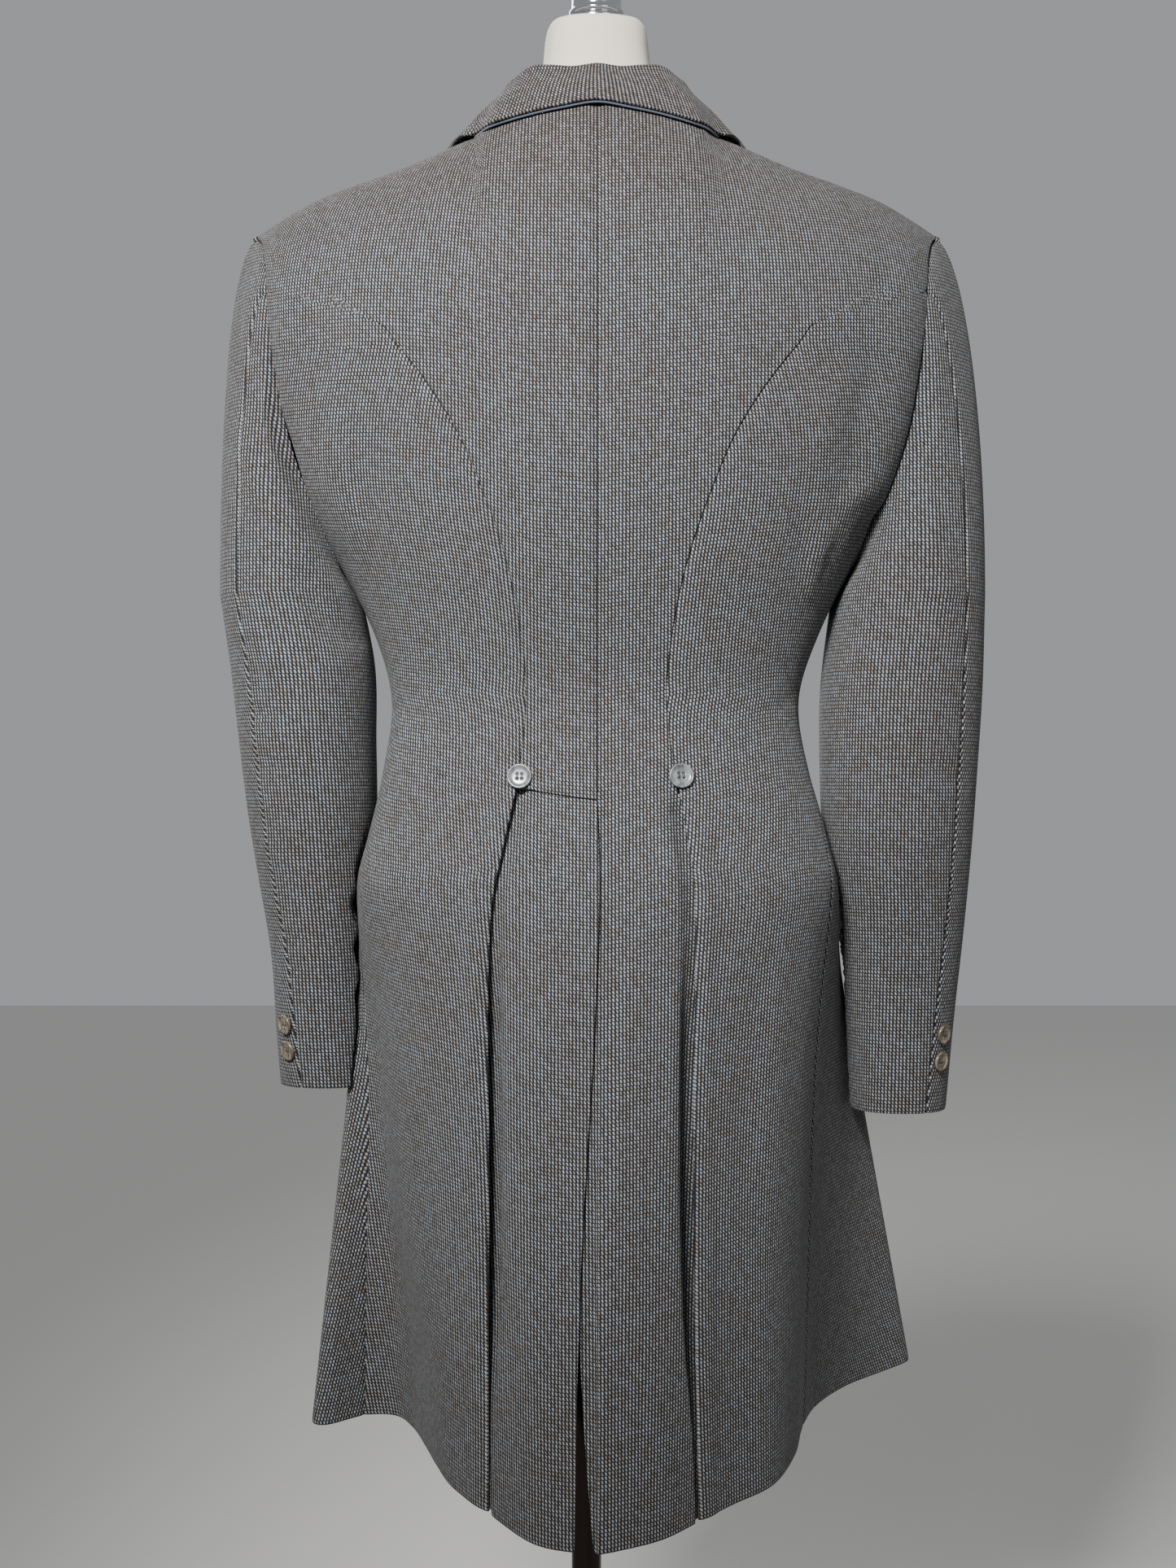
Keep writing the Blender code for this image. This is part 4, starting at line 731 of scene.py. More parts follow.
def cloth_grids(net, inner_net, side, seams, creases, line, tilt, on_sleeve=False, sewn_column=None):
    """Outer and inner grids and the UV of one cut piece, from its coarse nets."""
    sizes = bpy.context.scene.frock_coat_sizes
    function = sleeve_surface if on_sleeve else surface
    steps = (1.0, 0.01) if on_sleeve else (0.4, 0.002)

    def spots(rows):
        return function(rows[..., 1], rows[..., 0], side)

    coarse = spots(net) - net[..., 2:] * facing(function, net[..., 1], net[..., 0], side, *steps)
    keys_across, keys_along = chord_keys(coarse, 1), chord_keys(coarse, 0)
    across, along = places(keys_across, sizes.grid_step), places(keys_along, sizes.grid_step)
    nets = []
    for rows in (net, inner_net):
        fine = refined(refined(rows, keys_across, across, 1), keys_along, along, 0)
        nets.append(fine)
    grids = []
    for fine in nets:
        normal = facing(function, fine[..., 1], fine[..., 0], side, *steps)
        grids.append(spots(fine) - fine[..., 2:] * normal)
    outer_normal = facing(function, nets[0][..., 1], nets[0][..., 0], side, *steps)
    lift = creased(grids[0], outer_normal, creases)[..., None] * outer_normal * sizes.crease_strength
    groove = None if sewn_column is None else keys_across[sewn_column]
    outer = seamed(grids[0] + lift, outer_normal, nets[0][..., 0], across, along, seams, sizes, groove)
    if on_sleeve:
        uv = sleeve_grain(grids[0], nets[0][..., 1], side)
    else:
        uv = grain(nets[0], side, line, tilt)
    return outer, grids[1] + lift, uv


def sleeve_grain(points, turn, side):
    """UV of a sleeve's piece: u = R a, where a is the angle round the sleeve's axis from its back and
    R the section's mean half-width there; v is the height."""
    rows = np.asarray(SLEEVE[side])[::-1]
    inner, outer, back, front = np.moveaxis(smooth(rows, np.minimum(points[..., 2], rows[-1, 0])), -1, 0)
    behind = points[..., 1] - (back + front) / 2
    outside = points[..., 0] * side - (inner + outer) / 2
    angle = np.degrees(np.arctan2(behind, outside))
    angle = turn + (angle - turn + 180) % 360 - 180
    around = np.radians(90 - angle) * (outer - inner + back - front) / 4
    return np.stack([around * side, points[..., 2]], -1)


def with_depth(net, depth):
    """The same net moved in by a depth, for a wall's inside."""
    moved = net.copy()
    moved[..., 2] += depth
    return moved


def linear(code):
    """A colour given as an sRGB hex code, in the linear values that shaders use."""
    values = np.array([int(code[i:i + 2], 16) for i in (1, 3, 5)]) / 255
    low, high = values / 12.92, ((values + 0.055) / 1.055) ** 2.4
    return tuple(np.where(values <= 0.04045, low, high))


def add(tree, kind, inputs=None, **settings):
    """Adds a node, sets its properties, and gives its inputs values or other nodes' outputs."""
    node = tree.nodes.new(kind)
    for key, value in settings.items():
        setattr(node, key, value)
    for key, value in (inputs or {}).items():
        if isinstance(value, bpy.types.NodeSocket):
            tree.links.new(value, node.inputs[key])
        else:
            node.inputs[key].default_value = value
    return node


def blank(name):
    """A new material with only a Principled shader and its output."""
    material = bpy.data.materials.new(name)
    material.use_nodes = True
    tree = material.node_tree
    return material, tree, tree.nodes["Principled BSDF"]


def calculate(tree, operation, *values):
    """One Math node's result."""
    return add(tree, "ShaderNodeMath", dict(enumerate(values)), operation=operation).outputs[0]


def soft_step(tree, value, low, high):
    """0 below low and 1 above high, smooth between, as a Map Range node."""
    inputs = {"Value": value, "From Min": low, "From Max": high}
    return add(tree, "ShaderNodeMapRange", inputs, interpolation_type="SMOOTHSTEP").outputs[0]


def blended(tree, share, one, two):
    """A mix of two colours by a share."""
    node = add(tree, "ShaderNodeMix", {"Factor": share}, data_type="RGBA")
    for socket, value in ((node.inputs[6], one), (node.inputs[7], two)):
        if isinstance(value, bpy.types.NodeSocket):
            tree.links.new(value, socket)
        else:
            socket.default_value = (*value, 1)
    return node.outputs[2]


def noise(tree, vector, scale, detail=2.0, rough=0.5):
    """A noise texture's value."""
    inputs = {"Vector": vector, "Scale": scale, "Detail": detail, "Roughness": rough}
    return add(tree, "ShaderNodeTexNoise", inputs).outputs[0]


def wool_material():
    """Worsted wool in a tick weave, woven: light slanted ticks in columns 2.5 mm apart between dark
    warp lines that are navy and brown in turn. Each tick has a shade of its own, so the eye sees a
    fine grey with flecks of cream, slate and brown, browner over the shoulders."""
    sizes, colours = bpy.context.scene.frock_coat_sizes, bpy.context.scene.frock_coat_colours
    material, tree, shader = blank("tick_weave_wool")
    uv = add(tree, "ShaderNodeUVMap", uv_map="grain").outputs[0]
    place = add(tree, "ShaderNodeTexCoord").outputs["Object"]
    wander = noise(tree, place, 260.0, 1.0)
    split = add(tree, "ShaderNodeSeparateXYZ", {0: uv})
    column = calculate(tree, "DIVIDE", split.outputs[0], sizes.column_width)
    row = calculate(tree, "DIVIDE", split.outputs[1], sizes.row_height)
    column = calculate(tree, "MULTIPLY_ADD", wander, 0.22, column)
    row = calculate(tree, "MULTIPLY_ADD", wander, -0.34, row)
    across = calculate(tree, "SUBTRACT", calculate(tree, "FRACT", column), 0.5)
    along = calculate(tree, "SUBTRACT", calculate(tree, "FRACT", row), 0.5)
    slanted = calculate(tree, "ABSOLUTE", calculate(tree, "MULTIPLY_ADD", along, -0.34, across))
    tick = calculate(tree, "SUBTRACT", 1.0, soft_step(tree, slanted, 0.12, 0.31))
    gap = calculate(tree, "SUBTRACT", 1.0, soft_step(tree, calculate(tree, "ABSOLUTE", along), 0.27, 0.43))
    light = calculate(tree, "MULTIPLY", tick, calculate(tree, "MULTIPLY_ADD", gap, 0.84, 0.16))
    whole = [calculate(tree, "FLOOR", value) for value in (column, row)]
    cell = add(tree, "ShaderNodeCombineXYZ", {0: whole[0], 1: whole[1]}).outputs[0]
    own = add(tree, "ShaderNodeTexWhiteNoise", {"Vector": cell})
    hues = add(tree, "ShaderNodeSeparateColor", {0: own.outputs["Color"]}).outputs
    line = calculate(tree, "FRACT", calculate(tree, "MULTIPLY", calculate(tree, "ADD", column, 0.5), 0.5))
    off_middle = calculate(tree, "ABSOLUTE", calculate(tree, "SUBTRACT", line, 0.5))
    navy_side = soft_step(tree, off_middle, 0.22, 0.28)
    high = add(tree, "ShaderNodeSeparateXYZ", {0: place}).outputs[2]
    yoke = calculate(tree, "MULTIPLY", soft_step(tree, high, 1.34, 1.45), 0.75)
    patches = soft_step(tree, noise(tree, place, 9.0, 3.0), 0.40, 0.66)
    browner = calculate(tree, "MAXIMUM", yoke, calculate(tree, "MULTIPLY", patches, 0.24))
    brown = blended(tree, hues[1], linear(colours.brown_thread), linear(colours.dark_thread))
    dark = blended(tree, navy_side, brown, linear(colours.navy_thread))
    pale = blended(tree, hues[0], linear(colours.warm_tick), linear(colours.cool_tick))
    pale = blended(tree, calculate(tree, "MULTIPLY", browner, hues[1]), pale, linear(colours.brown_tick))
    dark = blended(tree, calculate(tree, "MULTIPLY", browner, 0.7), dark, linear(colours.brown_thread))
    woven = blended(tree, light, dark, pale)
    fibre = noise(tree, place, 1900.0, 2.0, 0.7)
    shade = add(tree, "ShaderNodeMapRange", {"Value": fibre, "To Min": 0.74, "To Max": 1.26}).outputs[0]
    shades = {"Value": own.outputs[0], "To Min": 0.70, "To Max": 1.28}
    uneven = add(tree, "ShaderNodeMapRange", shades).outputs[0]
    shade = calculate(tree, "MULTIPLY", shade, uneven)
    toned = add(tree, "ShaderNodeVectorMath", {0: woven, "Scale": shade}, operation="SCALE").outputs[0]
    tree.links.new(toned, shader.inputs["Base Color"])
    height = calculate(tree, "MULTIPLY_ADD", fibre, 0.30, light)
    bump = add(tree, "ShaderNodeBump", {"Height": height, "Strength": 0.60, "Distance": 0.0007})
    tree.links.new(bump.outputs[0], shader.inputs["Normal"])
    shader.inputs["Roughness"].default_value = 0.88
    shader.inputs["Specular IOR Level"].default_value = 0.20
    shader.inputs["Sheen Weight"].default_value = 0.05
    shader.inputs["Sheen Roughness"].default_value = 0.55
    return material


def fibre_material(name, code, mottle, grit, depth):
    """A pressed or plain-woven cloth: one colour broken by its own fibres."""
    material, tree, shader = blank(name)
    place = add(tree, "ShaderNodeTexCoord").outputs["Object"]
    fine, broad = noise(tree, place, grit, 3.0, 0.65), noise(tree, place, 18.0)
    mixed = calculate(tree, "MULTIPLY_ADD", broad, 0.35, calculate(tree, "MULTIPLY", fine, 0.65))
    dark, pale = np.array(linear(code)) * (1 - mottle), np.array(linear(code)) * (1 + mottle)
    tree.links.new(blended(tree, mixed, tuple(dark), tuple(pale)), shader.inputs["Base Color"])
    bump = add(tree, "ShaderNodeBump", {"Height": fine, "Strength": 0.5, "Distance": depth})
    tree.links.new(bump.outputs[0], shader.inputs["Normal"])
    shader.inputs["Roughness"].default_value = 0.9
    shader.inputs["Sheen Weight"].default_value = 0.2
    return material


def horn_material(name, dark_code, pale_code, coat):
    """Polished horn, sawn and buffed: cloudy streaks under a thin gloss."""
    material, tree, shader = blank(name)
    place = add(tree, "ShaderNodeTexCoord").outputs["Object"]
    stretched = add(tree, "ShaderNodeMapping", {"Vector": place, "Scale": (1.0, 1.0, 0.28)}).outputs[0]
    cloud = soft_step(tree, noise(tree, stretched, 330.0, 3.0, 0.6), 0.32, 0.70)
    tree.links.new(blended(tree, cloud, linear(dark_code), linear(pale_code)), shader.inputs["Base Color"])
    shader.inputs["Roughness"].default_value = 0.30
    shader.inputs["Coat Weight"].default_value = coat
    shader.inputs["Coat Roughness"].default_value = 0.12
    return material


def metal_material(name, code, metallic, rough, wear):
    """A turned or painted metal: even colour, with fine scuffs that change its gloss."""
    material, tree, shader = blank(name)
    place = add(tree, "ShaderNodeTexCoord").outputs["Object"]
    scuffs = noise(tree, place, 140.0, 4.0, 0.6)
    tree.links.new(
        add(
            tree, "ShaderNodeMapRange",
            {"Value": scuffs, "To Min": rough, "To Max": rough + wear}).outputs[0],
        shader.inputs["Roughness"],
    )
    base = np.array(linear(code))
    tree.links.new(blended(tree, scuffs, tuple(base * 0.88), tuple(base)), shader.inputs["Base Color"])
    shader.inputs["Metallic"].default_value = metallic
    return material


def shared(maker, name, *values):
    """A material that several pieces use, made the first time it is asked for."""
    return bpy.data.materials.get(name) or maker(*values)


def collar_lines(side):
    """Base of the stand, fold and edge of the fall, station by station from the centre back."""
    st = COLLAR_STATIONS.astype(float)
    back = st <= 92
    behind, before = (
        np.stack([np.interp(st, table[:, 0], table[:, k]) for k in range(1, 5)], 1)
        for table in (np.array(COLLAR_BACK), np.array(COLLAR_FRONT))
    )
    stand, lean, edge_angle, edge_level = np.where(back[:, None], behind, before).T
    edge = surface(edge_angle, edge_level, side)
    edge += (COLLAR_T + FELT_T + COLLAR_LIFT) * facing(surface, edge_angle, edge_level, side)
    x = NECK_X * np.sin(np.radians(np.minimum(st, 90)))
    y, z = neckline(x, 0 * x)
    base = np.stack([x * side, y, z], -1)
    run_down = np.interp(st, (92, 132), (RIDGE, 1.4000))
    roll = surface(np.interp(run_down, *np.asarray(ROLL_LINE).T), run_down, side)
    base = np.where(back[:, None], base, roll)
    base[:, 2] += 0.0008
    inward = np.array([0.0, -0.004, 0.0]) - base
    inward[:, 2] = 0
    inward = unit(inward)
    up = np.array([0.0, 0.0, 1.0])
    return base, base + lean[:, None] * inward + stand[:, None] * up, edge, -inward, up


def collar_grids(side):
    """The collar's skin and inside: up the stand, over the fold and down the fall."""
    base, fold, edge, out, up = collar_lines(side)
    fall = edge - fold
    lie = unit(np.cross(np.gradient(base, axis=0), fall) * side)
    lie *= np.sign((lie * (out + up)).sum(1, keepdims=True))
    skin = [
        base, base + 0.55 * (fold - base), fold - 0.12 * (fold - base),
        fold + 0.0006 * up + 0.0012 * out, fold + 0.12 * fall + 0.0012 * lie,
        fold + 0.5 * fall + 0.0022 * lie, edge,
    ]
    inside = [out, out, 0.8 * out - 0.4 * up, -1.2 * up + 0.1 * out, -lie, -lie, -lie]
    skin = np.stack(skin, 1)
    return skin, skin + COLLAR_T * np.stack(inside, 1), lie, fall


def felt_grids(side):
    """The strip of felt under the edge of the collar's fall, across the back."""
    grid, _, lie, fall = collar_grids(side)
    step, edge = grid[:, 6] - grid[:, 5], grid[:, 6]
    under = [edge - share * step for share in (0.52, 0.36, 0.16, 0.08)]
    top = np.stack([*under, edge + FELT_SHOW * unit(fall)], 1)
    sunk = COLLAR_T + np.array((0.0010, 0.0007, 0.0004, 0.0004, 0.0004))
    top = (top - sunk[:, None] * lie[:, None])[:FELT_STATIONS]
    return top, top - FELT_T * lie[:FELT_STATIONS, None]


def both_sides(function):
    """One grid across the centre back from the two sides' grids."""
    left, right = function(+1), function(-1)
    return [np.concatenate([r[:0:-1], l]) for l, r in zip(left, right)]


def finer(skin, inside, step):
    """Both grids of a wall read at finer places, with UV from the distances along them."""
    along, across = chord_keys(skin, 0), chord_keys(skin, 1)
    at_along, at_across = places(along, step), places(across, step)
    grids = [refined(refined(g, along, at_along, 0), across, at_across, 1) for g in (skin, inside)]
    u, v = np.meshgrid(at_along, -at_across, indexing="ij")
    return grids[0], grids[1], np.stack([u - along[-1] / 2, v], -1)


def softened(profile, step, blur):
    """A profile of (radius, height) rows walked in even steps, with its corners rounded by a
    Gaussian of a given width. Its two ends stay in place."""
    profile = np.asarray(profile, float)
    length = np.r_[0, np.cumsum(np.linalg.norm(np.diff(profile, axis=0), axis=1))]
    at = np.linspace(0, length[-1], int(length[-1] / step) + 2)
    walked = np.column_stack([np.interp(at, length, profile[:, k]) for k in range(2)])
    weight = np.exp(-((at[:, None] - at[None]) / blur) ** 2)
    soft = weight @ walked / weight.sum(1, keepdims=True)
    keep = ramp(np.minimum(at, at[-1] - at), 0, 2 * blur)[:, None]
    return walked + keep * (soft - walked)


def revolve(name, profile, segments, place, axis, material, dent=None):
    """A profile turned round an axis: x = r cos t, y = r sin t, z = h - dent(x, y)."""
    turn = np.linspace(0, 2 * math.pi, segments, endpoint=False)
    radius, height = profile[:, :1], profile[:, 1:] + 0 * turn
    points = np.stack([radius * np.cos(turn), radius * np.sin(turn), height], -1)
    if dent is not None:
        points[..., 2] -= dent(points)
    rows = len(profile)
    index = np.arange(rows * segments).reshape(rows, segments)
    after = np.roll(index, -1, 1)
    faces = np.stack([index[:-1], after[:-1], after[1:], index[1:]], -1).reshape(-1, 4)
    axis = unit(np.asarray(axis, float))
    aside = unit(np.cross((0, 0, 1) if abs(axis[2]) < 0.9 else (0, 1, 0), axis))
    turned = points.reshape(-1, 3) @ np.stack([aside, np.cross(axis, aside), axis]) + np.asarray(place)
    thing = add_mesh(name, turned, faces)
    welded = bmesh.new()
    welded.from_mesh(thing.data)
    bmesh.ops.remove_doubles(welded, verts=welded.verts, dist=1e-6)
    bmesh.ops.dissolve_degenerate(welded, edges=welded.edges, dist=1e-7)
    welded.to_mesh(thing.data)
    welded.free()
    thing.data.materials.append(material)
    return outward(thing)


def make_button(name, node, spot, normal, diameter, material):
    """A turned button with a raised rim, a dished middle and four sewing holes: each hole is a
    dent of depth * exp(-(d / r)^4) in the top face."""
    r = diameter / 2
    rows = (
        (0, 0), (0.84, 0), (0.97, 0.08), (1, 0.17), (0.99, 0.29), (0.93, 0.36), (0.84, 0.34),
        (0.74, 0.25), (0.60, 0.21), (0.34, 0.20), (0, 0.20),
    )
    profile = softened(np.array(rows) * r, 0.035 * r, 0.045 * r)
    hole_way, hole_r = 0.19 * r, 0.085 * r

    def holes(points):
        total = 0
        for sx in (-1, 1):
            for sy in (-1, 1):
                away = np.hypot(points[..., 0] - sx * hole_way, points[..., 1] - sy * hole_way)
                total = total + np.exp(-(away / (1.25 * hole_r)) ** 4)
        return 0.16 * r * total * (points[..., 2] > 0.12 * r)

    thing = revolve(name, profile, 72, spot + BUTTON_STAND * 0.4 * normal, normal, material, holes)
    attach(thing, "root")
    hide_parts(node)
    return thing


def make_thread(name, spot, normal, diameter, material):
    """Two stitches across a button's holes: half rings of thread, as a circle carried along an
    arch z = h sin(pi t) between two holes."""
    r = diameter / 2
    normal = unit(np.asarray(normal, float))
    aside = unit(np.cross((0, 0, 1) if abs(normal[2]) < 0.9 else (0, 1, 0), normal))
    frame_rows = np.stack([aside, np.cross(normal, aside), normal])
    t = np.linspace(0, 1, 13)[:, None]
    turn = np.linspace(0, 2 * math.pi, 8, endpoint=False)[None]
    pieces, faces = [], []
    for way in (-1, 1):
        thread = 0.045 * r
        arch = 0.16 * r + 0.09 * r * np.sin(math.pi * t)
        x = way * 0.19 * r + thread * np.cos(turn) + 0 * t
        y = (2 * t - 1) * 0.19 * r + 0 * turn
        points = np.stack([x, y, arch + thread * np.sin(turn)], -1)
        index = np.arange(points[..., 0].size).reshape(13, 8) + len(pieces) * 104
        after = np.roll(index, -1, 1)
        faces.append(np.stack([index[:-1], after[:-1], after[1:], index[1:]], -1).reshape(-1, 4))
        pieces.append(points.reshape(-1, 3))
    place = spot + BUTTON_STAND * 0.4 * normal
    thing = add_mesh(name, np.concatenate(pieces) @ frame_rows + place, np.concatenate(faces))
    closed = bmesh.new()
    closed.from_mesh(thing.data)
    bmesh.ops.holes_fill(closed, edges=closed.edges, sides=8)
    closed.to_mesh(thing.data)
    closed.free()
    thing.data.materials.append(material)
    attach(outward(thing), "root")
    return thing


class CoatSizes(bpy.types.PropertyGroup):
    """Sizes that a user would change."""

    grid_step: bpy.props.FloatProperty(
        name="Grid step", description="Distance between points of the cloth", default=0.0052, unit="LENGTH")
    seam_depth: bpy.props.FloatProperty(
        name="Seam depth", description="How far seams are pressed in", default=0.0014, unit="LENGTH")
    seam_width: bpy.props.FloatProperty(
        name="Seam width", description="Half width of a pressed seam", default=0.0016, unit="LENGTH")
    crease_strength: bpy.props.FloatProperty(
        name="Creases", description="Share of the creases' depth", default=1.0, subtype="FACTOR")
    column_width: bpy.props.FloatProperty(
        name="Column", description="Distance between the weave's light columns",
        default=0.0025, unit="LENGTH")
    row_height: bpy.props.FloatProperty(
        name="Row", description="Distance between the weave's ticks", default=0.0027, unit="LENGTH")


class CoatColours(bpy.types.PropertyGroup):
    """Threads of the weave as sRGB hex codes."""

    warm_tick: bpy.props.StringProperty(name="Warm tick", description="Light yarn", default="#938C82")
    cool_tick: bpy.props.StringProperty(name="Cool tick", description="Light yarn", default="#838A90")
    brown_tick: bpy.props.StringProperty(name="Brown tick", description="Fleck yarn", default="#6E5F58")
    navy_thread: bpy.props.StringProperty(name="Navy", description="Dark warp", default="#171C24")
    brown_thread: bpy.props.StringProperty(name="Brown", description="Broken warp", default="#28211F")
    dark_thread: bpy.props.StringProperty(name="Charcoal", description="Dark warp", default="#19191C")


BACK_LINE = ((HEM, 0), (RIDGE, 0))
SIDE_LINE = ((0.466, 48.0), (0.930, 40.0), (1.055, 49.0), (1.146, 38.7), (1.300, 26.0), (1.450, 25.0))
FRONT_LINE = ((HEM, 180), (RIDGE, 180))
FORM_PIECE = "form_cover_body"
SIDES = ((+1, "left"), (-1, "right"))


def wool_piece(
        name, nodes, net, inner, side, seams, line=BACK_LINE, tilt=0.0, on_sleeve=False, sewn_column=None):
    """One cut piece of wool, from its nets to a mesh."""
    wool = shared(wool_material, "tick_weave_wool")
    creases = SLEEVE_CREASES if on_sleeve else BODY_CREASES
    outer, inside, uv = cloth_grids(
        net, inner, side, seams, creases, line, tilt, on_sleeve, sewn_column)
    return make_cloth(name, nodes, outer, inside, uv, wool)


class FROCKCOAT_OT_form(bpy.types.Operator):
    """Builds the cotton-covered torso form"""

    bl_idname = "frock_coat.form"
    bl_label = "Form"

    def execute(self, context):
        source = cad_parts["form_torso"]
        mesh = source.data.copy()
        welded = bmesh.new()
        welded.from_mesh(mesh)
        bmesh.ops.remove_doubles(welded, verts=welded.verts, dist=1e-5)
        bmesh.ops.join_triangles(
            welded, faces=welded.faces, angle_face_threshold=0.7, angle_shape_threshold=0.9)
        welded.to_mesh(mesh)
        welded.free()
        thing = bpy.data.objects.new(FORM_PIECE, mesh)
        context.scene.collection.objects.link(thing)
        mesh.materials.clear()
        mesh.materials.append(fibre_material("plain_cotton_cover", "#D9D1C2", 0.10, 900.0, 0.0003))
        mesh.shade_smooth()
        modifier = thing.modifiers.new("rounder", "SUBSURF")
        modifier.levels = modifier.render_levels = 2
        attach(thing, "root")
        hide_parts("form_torso")
        return {"FINISHED"}


class FROCKCOAT_OT_backs(bpy.types.Operator):
    """Builds the centre backs and tails"""

    bl_idname = "frock_coat.backs"
    bl_label = "Backs and tails"

    def execute(self, context):
        left, tail = back_net(+1, 12), tail_net(+1)
        left[0, :, 0] = WAIST_SEAM - 0.005 + 0.009 * np.linspace(0, 1, left.shape[1])
        left[0, :, 2] = -0.0005
        tail[-1, :, 0] += 0.008
        tail[-2:, :, 2] += np.array(((0.0008,), (0.0026,)))
        wool_piece("back_left_cloth", ["back_left"], left, with_depth(left, CLOTH), +1, (1, 1, 0, 1))
        wool_piece("tail_left_cloth", ["tail_left"], tail, with_depth(tail, CLOTH), +1, (0, 0, 0, 1))
        tail = tail_net(-1)
        upper = back_net(-1, tail.shape[1])
        upper[0, :, 0] += 1.5 * CLOTH
        tail[-1, :3, 2] = 0.0010, 0.0005, 0.0
        whole = np.concatenate([tail, upper])
        seams = (above_waist, above_waist, 0, 1)
        wool_piece("back_right_cloth", ["back_right"], whole, with_depth(whole, CLOTH), -1, seams)
        return {"FINISHED"}


class FROCKCOAT_OT_side_backs(bpy.types.Operator):
    """Builds the side backs with their pleat folds"""

    bl_idname = "frock_coat.side_backs"
    bl_label = "Side backs"

    def execute(self, context):
        for side, word in SIDES:
            outer, inner = side_back_nets(side)
            wool_piece(
                f"side_back_{word}_cloth", [f"side_back_{word}"], outer, inner, side, (0, 1, 0, 1),
                SIDE_LINE, 0.10, sewn_column=3)
        return {"FINISHED"}


class FROCKCOAT_OT_fronts(bpy.types.Operator):
    """Builds the fronts and lapels"""

    bl_idname = "frock_coat.fronts"
    bl_label = "Fronts and lapels"

    def execute(self, context):
        for side, word in SIDES:
            net, lapel = front_net(side, 10), lapel_net()
            wool_piece(
                f"front_{word}_cloth", [f"front_{word}"], net, with_depth(net, CLOTH), side,
                (1, 0, 0, 1), FRONT_LINE)
            wool_piece(
                f"lapel_{word}_cloth", [f"lapel_{word}"], lapel, with_depth(lapel, CLOTH), side,
                (0, 0, 0, 0), FRONT_LINE)
        return {"FINISHED"}


class FROCKCOAT_OT_sleeves(bpy.types.Operator):
    """Builds the upper and under sleeves"""

    bl_idname = "frock_coat.sleeves"
    bl_label = "Sleeves"

    def execute(self, context):
        under = sleeve_net((*HOLE_SIDE_BACK[::-1], 195, 210, 225))
        upper = sleeve_net((*HOLE_FRONT[3:-1], *(360 + t for t in HOLE_BACK[::-1])))
        for side, word in SIDES:
            for part, net in (("under", under), ("upper", upper)):
                node = f"{part}_sleeve_{word}"
                wool_piece(
                    f"{node}_cloth", [node], net, with_depth(net, CLOTH), side, (1, 1, 1, 0),
                    on_sleeve=True)
        return {"FINISHED"}


class FROCKCOAT_OT_collar(bpy.types.Operator):
    """Builds the collar and the felt under its edge"""

    bl_idname = "frock_coat.collar"
    bl_label = "Collar"

    def execute(self, context):
        wool = shared(wool_material, "tick_weave_wool")
        felt = fibre_material("pressed_wool_felt", "#434C5A", 0.16, 1500.0, 0.0004)
        for name, grids, material, slot in (
            ("collar_cloth", lambda side: collar_grids(side)[:2], wool, "wool"),
            ("undercollar_felt", felt_grids, felt, "collar_felt"),
        ):
            outer, inner, uv = finer(*both_sides(grids), 0.0030)
            node = name.split("_")[0]
            make_cloth(
                name, [node], outer.transpose(1, 0, 2), inner.transpose(1, 0, 2),
                uv.transpose(1, 0, 2), material)
        return {"FINISHED"}


class FROCKCOAT_OT_buttons(bpy.types.Operator):
    """Builds the buttons and their thread"""

    bl_idname = "frock_coat.buttons"
    bl_label = "Buttons"

    def execute(self, context):
        grey = horn_material("polished_grey_horn", "#4C4F50", "#7C8082", 0.5)
        brown = horn_material("polished_brown_horn", "#3E352C", "#7D7360", 0.7)
        thread = fibre_material("waxed_linen_thread", "#2B2724", 0.10, 2500.0, 0.0001)
        for node in sorted(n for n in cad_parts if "button" in n):
            points = np.array([v.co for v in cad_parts[node].data.vertices])
            middle = points.mean(0)
            normal = np.linalg.svd(points - middle)[2][-1]
            front = node.startswith("front")
            sleeve = node.startswith("cuff")
            outwards = np.array((np.sign(middle[0]) * sleeve, -1.0 if front else 1.0, 0.0))
            normal = normal * np.sign(normal @ outwards)
            rise = (points - middle) @ normal
            spot = middle + (rise.min() - BUTTON_STAND) * normal
            size = BACK_BUTTON if node.startswith("back") else FRONT_BUTTON if front else CUFF_BUTTON
            horn, slot = (grey, "grey_horn") if node.startswith("back") else (brown, "brown_horn")
            make_button(f"{node}_horn", node, spot, normal, size, horn)
            make_thread(f"{node}_thread", spot, normal, size, thread)
        return {"FINISHED"}


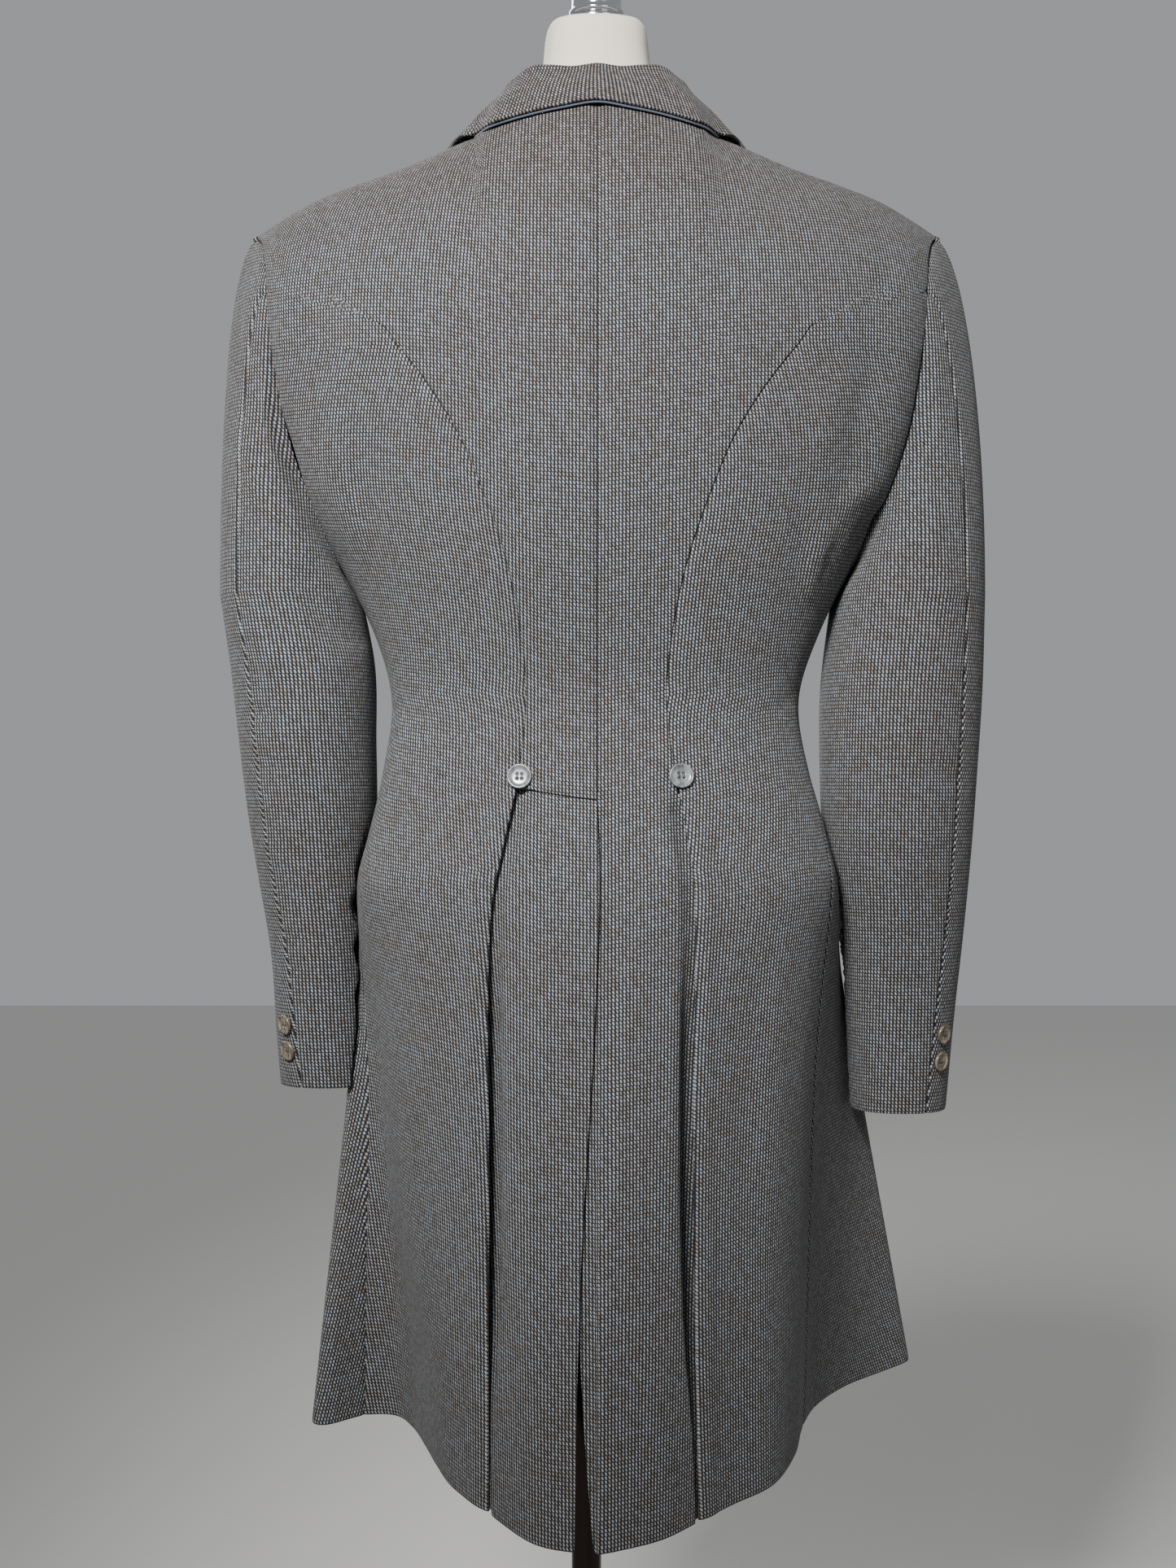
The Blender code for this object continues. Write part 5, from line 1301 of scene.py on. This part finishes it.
class FROCKCOAT_OT_stand(bpy.types.Operator):
    """Builds the neck cap, pole and base"""

    bl_idname = "frock_coat.stand"
    bl_label = "Stand"

    def execute(self, context):
        chrome = metal_material("polished_chrome_plate", "#D4D7DA", 1.0, 0.06, 0.10)
        # The pole is chrome. Its dark brown colour is painted reflection: it stands in for the browns the
        # chrome mirrors, under a real metallic gloss.
        painted_reflection_metal = metal_material("dark_metal_painted_reflection", "#3A2F2B", 0.85, 0.16, 0.14)
        paint = metal_material("satin_black_brown_enamel", "#3B3633", 0.0, 0.34, 0.16)
        cap = (
            (0, 0), (0.0228, 0), (0.0235, 0.0012), (0.0235, 0.0050), (0.0205, 0.0068),
            (0.0190, 0.0080), (0.0204, 0.0096), (0.0204, 0.0112), (0.0187, 0.0130), (0.0180, 0.0255),
            (0.0150, 0.0310), (0.0075, 0.0340), (0.0070, 0.0380), (0.0105, 0.0430), (0.0110, 0.0490),
            (0.0075, 0.0540), (0, 0.0560),
        )
        base = (
            (0, 0), (0.1630, 0), (0.1650, 0.0020), (0.1650, 0.0082), (0.1612, 0.0120),
            (0.0340, 0.0140), (0.0240, 0.0180), (0.0190, 0.0300), (0, 0.0300),
        )
        lowest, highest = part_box("pole")
        foot, head, aside = lowest[2], highest[2], (lowest[0] + highest[0]) / 2
        pole = (
            (0, foot), (0.011, foot), (0.011, head - 0.016), (0.030, head - 0.012), (0.030, head),
            (0, head),
        )
        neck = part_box("neck_cap")[0][2]
        for name, node, profile, step, blur, segments, place, material, slot in (
            ("neck_cap_chrome", "neck_cap", cap, 0.0005, 0.0006, 96, (0, 0, neck), chrome, "chrome"),
            ("pole_tube", "pole", pole, 0.0020, 0.0010, 64, (aside, 0, 0), painted_reflection_metal, "dark_metal"),
            ("base_disc", "base", base, 0.0016, 0.0012, 128, (0, 0, 0), paint, "painted_base"),
        ):
            thing = revolve(name, softened(profile, step, blur), segments, place, (0, 0, 1), material)
            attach(thing, "root")
            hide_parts(node)
        return {"FINISHED"}


class FROCKCOAT_OT_stage(bpy.types.Operator):
    """Builds the pale floor, the soft lights and the camera"""

    bl_idname = "frock_coat.stage"
    bl_label = "Stage"

    def execute(self, context):
        corners = np.array(((-9, -9, 0), (9, -9, 0), (9, 9, 0), (-9, 9, 0)), float)
        floor = add_mesh("studio_floor", corners, np.array([[0, 1, 2, 3]]))
        floor.data.materials.append(fibre_material("pale_studio_paper", "#DCDAD5", 0.02, 40.0, 0.0002))
        world = bpy.data.worlds.new("soft_studio")
        context.scene.world = world
        world.use_nodes = True
        sky = world.node_tree.nodes["Background"]
        sky.inputs["Color"].default_value = (*linear("#DFE1E4"), 1)
        sky.inputs["Strength"].default_value = 0.46
        for name, place, aim, size, spread, watts in (
            ("key", (0.70, 2.45, 2.50), (0.07, 0.06, 1.20), 0.6, 33, 9.6),
            ("fill", (-1.6, 2.3, 2.1), (-0.05, 0.05, 1.25), 1.2, 50, 0.7),
            ("front", (0.8, -2.4, 2.3), (0, 0, 1.15), 1.6, 70, 9.0),
        ):
            lamp = bpy.data.lights.new(name, "AREA")
            lamp.size, lamp.energy, lamp.spread = size, watts, math.radians(spread)
            light = bpy.data.objects.new(name, lamp)
            context.scene.collection.objects.link(light)
            light.location = place
            way = np.array(aim, float) - np.array(place)
            light.rotation_mode = "XYZ"
            light.rotation_euler = (
                math.atan2(math.hypot(way[0], way[1]), -way[2]), 0.0, math.atan2(-way[0], way[1]))
        camera = bpy.data.objects.new("camera", bpy.data.cameras.new("camera"))
        context.scene.collection.objects.link(camera)
        camera.data.lens, camera.data.sensor_width = 55.48, 36.0
        camera.location = (0.0064, 1.8, 0.99)
        camera.rotation_euler = (math.radians(90), 0, math.radians(180))
        context.scene.camera = camera
        return {"FINISHED"}


OPERATORS = (
    FROCKCOAT_OT_form, FROCKCOAT_OT_backs, FROCKCOAT_OT_side_backs, FROCKCOAT_OT_fronts,
    FROCKCOAT_OT_sleeves, FROCKCOAT_OT_collar, FROCKCOAT_OT_buttons, FROCKCOAT_OT_stand,
    FROCKCOAT_OT_stage,
)


class FROCKCOAT_PT_panel(bpy.types.Panel):
    """Sizes, colours and pieces of the coat"""

    bl_idname = "FROCKCOAT_PT_panel"
    bl_label = "Frock coat"
    bl_space_type = "VIEW_3D"
    bl_region_type = "UI"
    bl_category = "Frock coat"

    def draw(self, context):
        for group in (context.scene.frock_coat_sizes, context.scene.frock_coat_colours):
            for name in group.__annotations__:
                self.layout.prop(group, name)
        for operator in OPERATORS:
            self.layout.operator(operator.bl_idname)


CLASSES = (CoatSizes, CoatColours, *OPERATORS, FROCKCOAT_PT_panel)


def register():
    for item in CLASSES:
        bpy.utils.register_class(item)
    bpy.types.Scene.frock_coat_sizes = bpy.props.PointerProperty(type=CoatSizes)
    bpy.types.Scene.frock_coat_colours = bpy.props.PointerProperty(type=CoatColours)


def unregister():
    del bpy.types.Scene.frock_coat_colours
    del bpy.types.Scene.frock_coat_sizes
    for item in reversed(CLASSES):
        bpy.utils.unregister_class(item)


def main():
    register()
    for operator in OPERATORS:
        getattr(bpy.ops.frock_coat, operator.bl_idname.split(".")[1])()


if __name__ == "__main__":
    main()
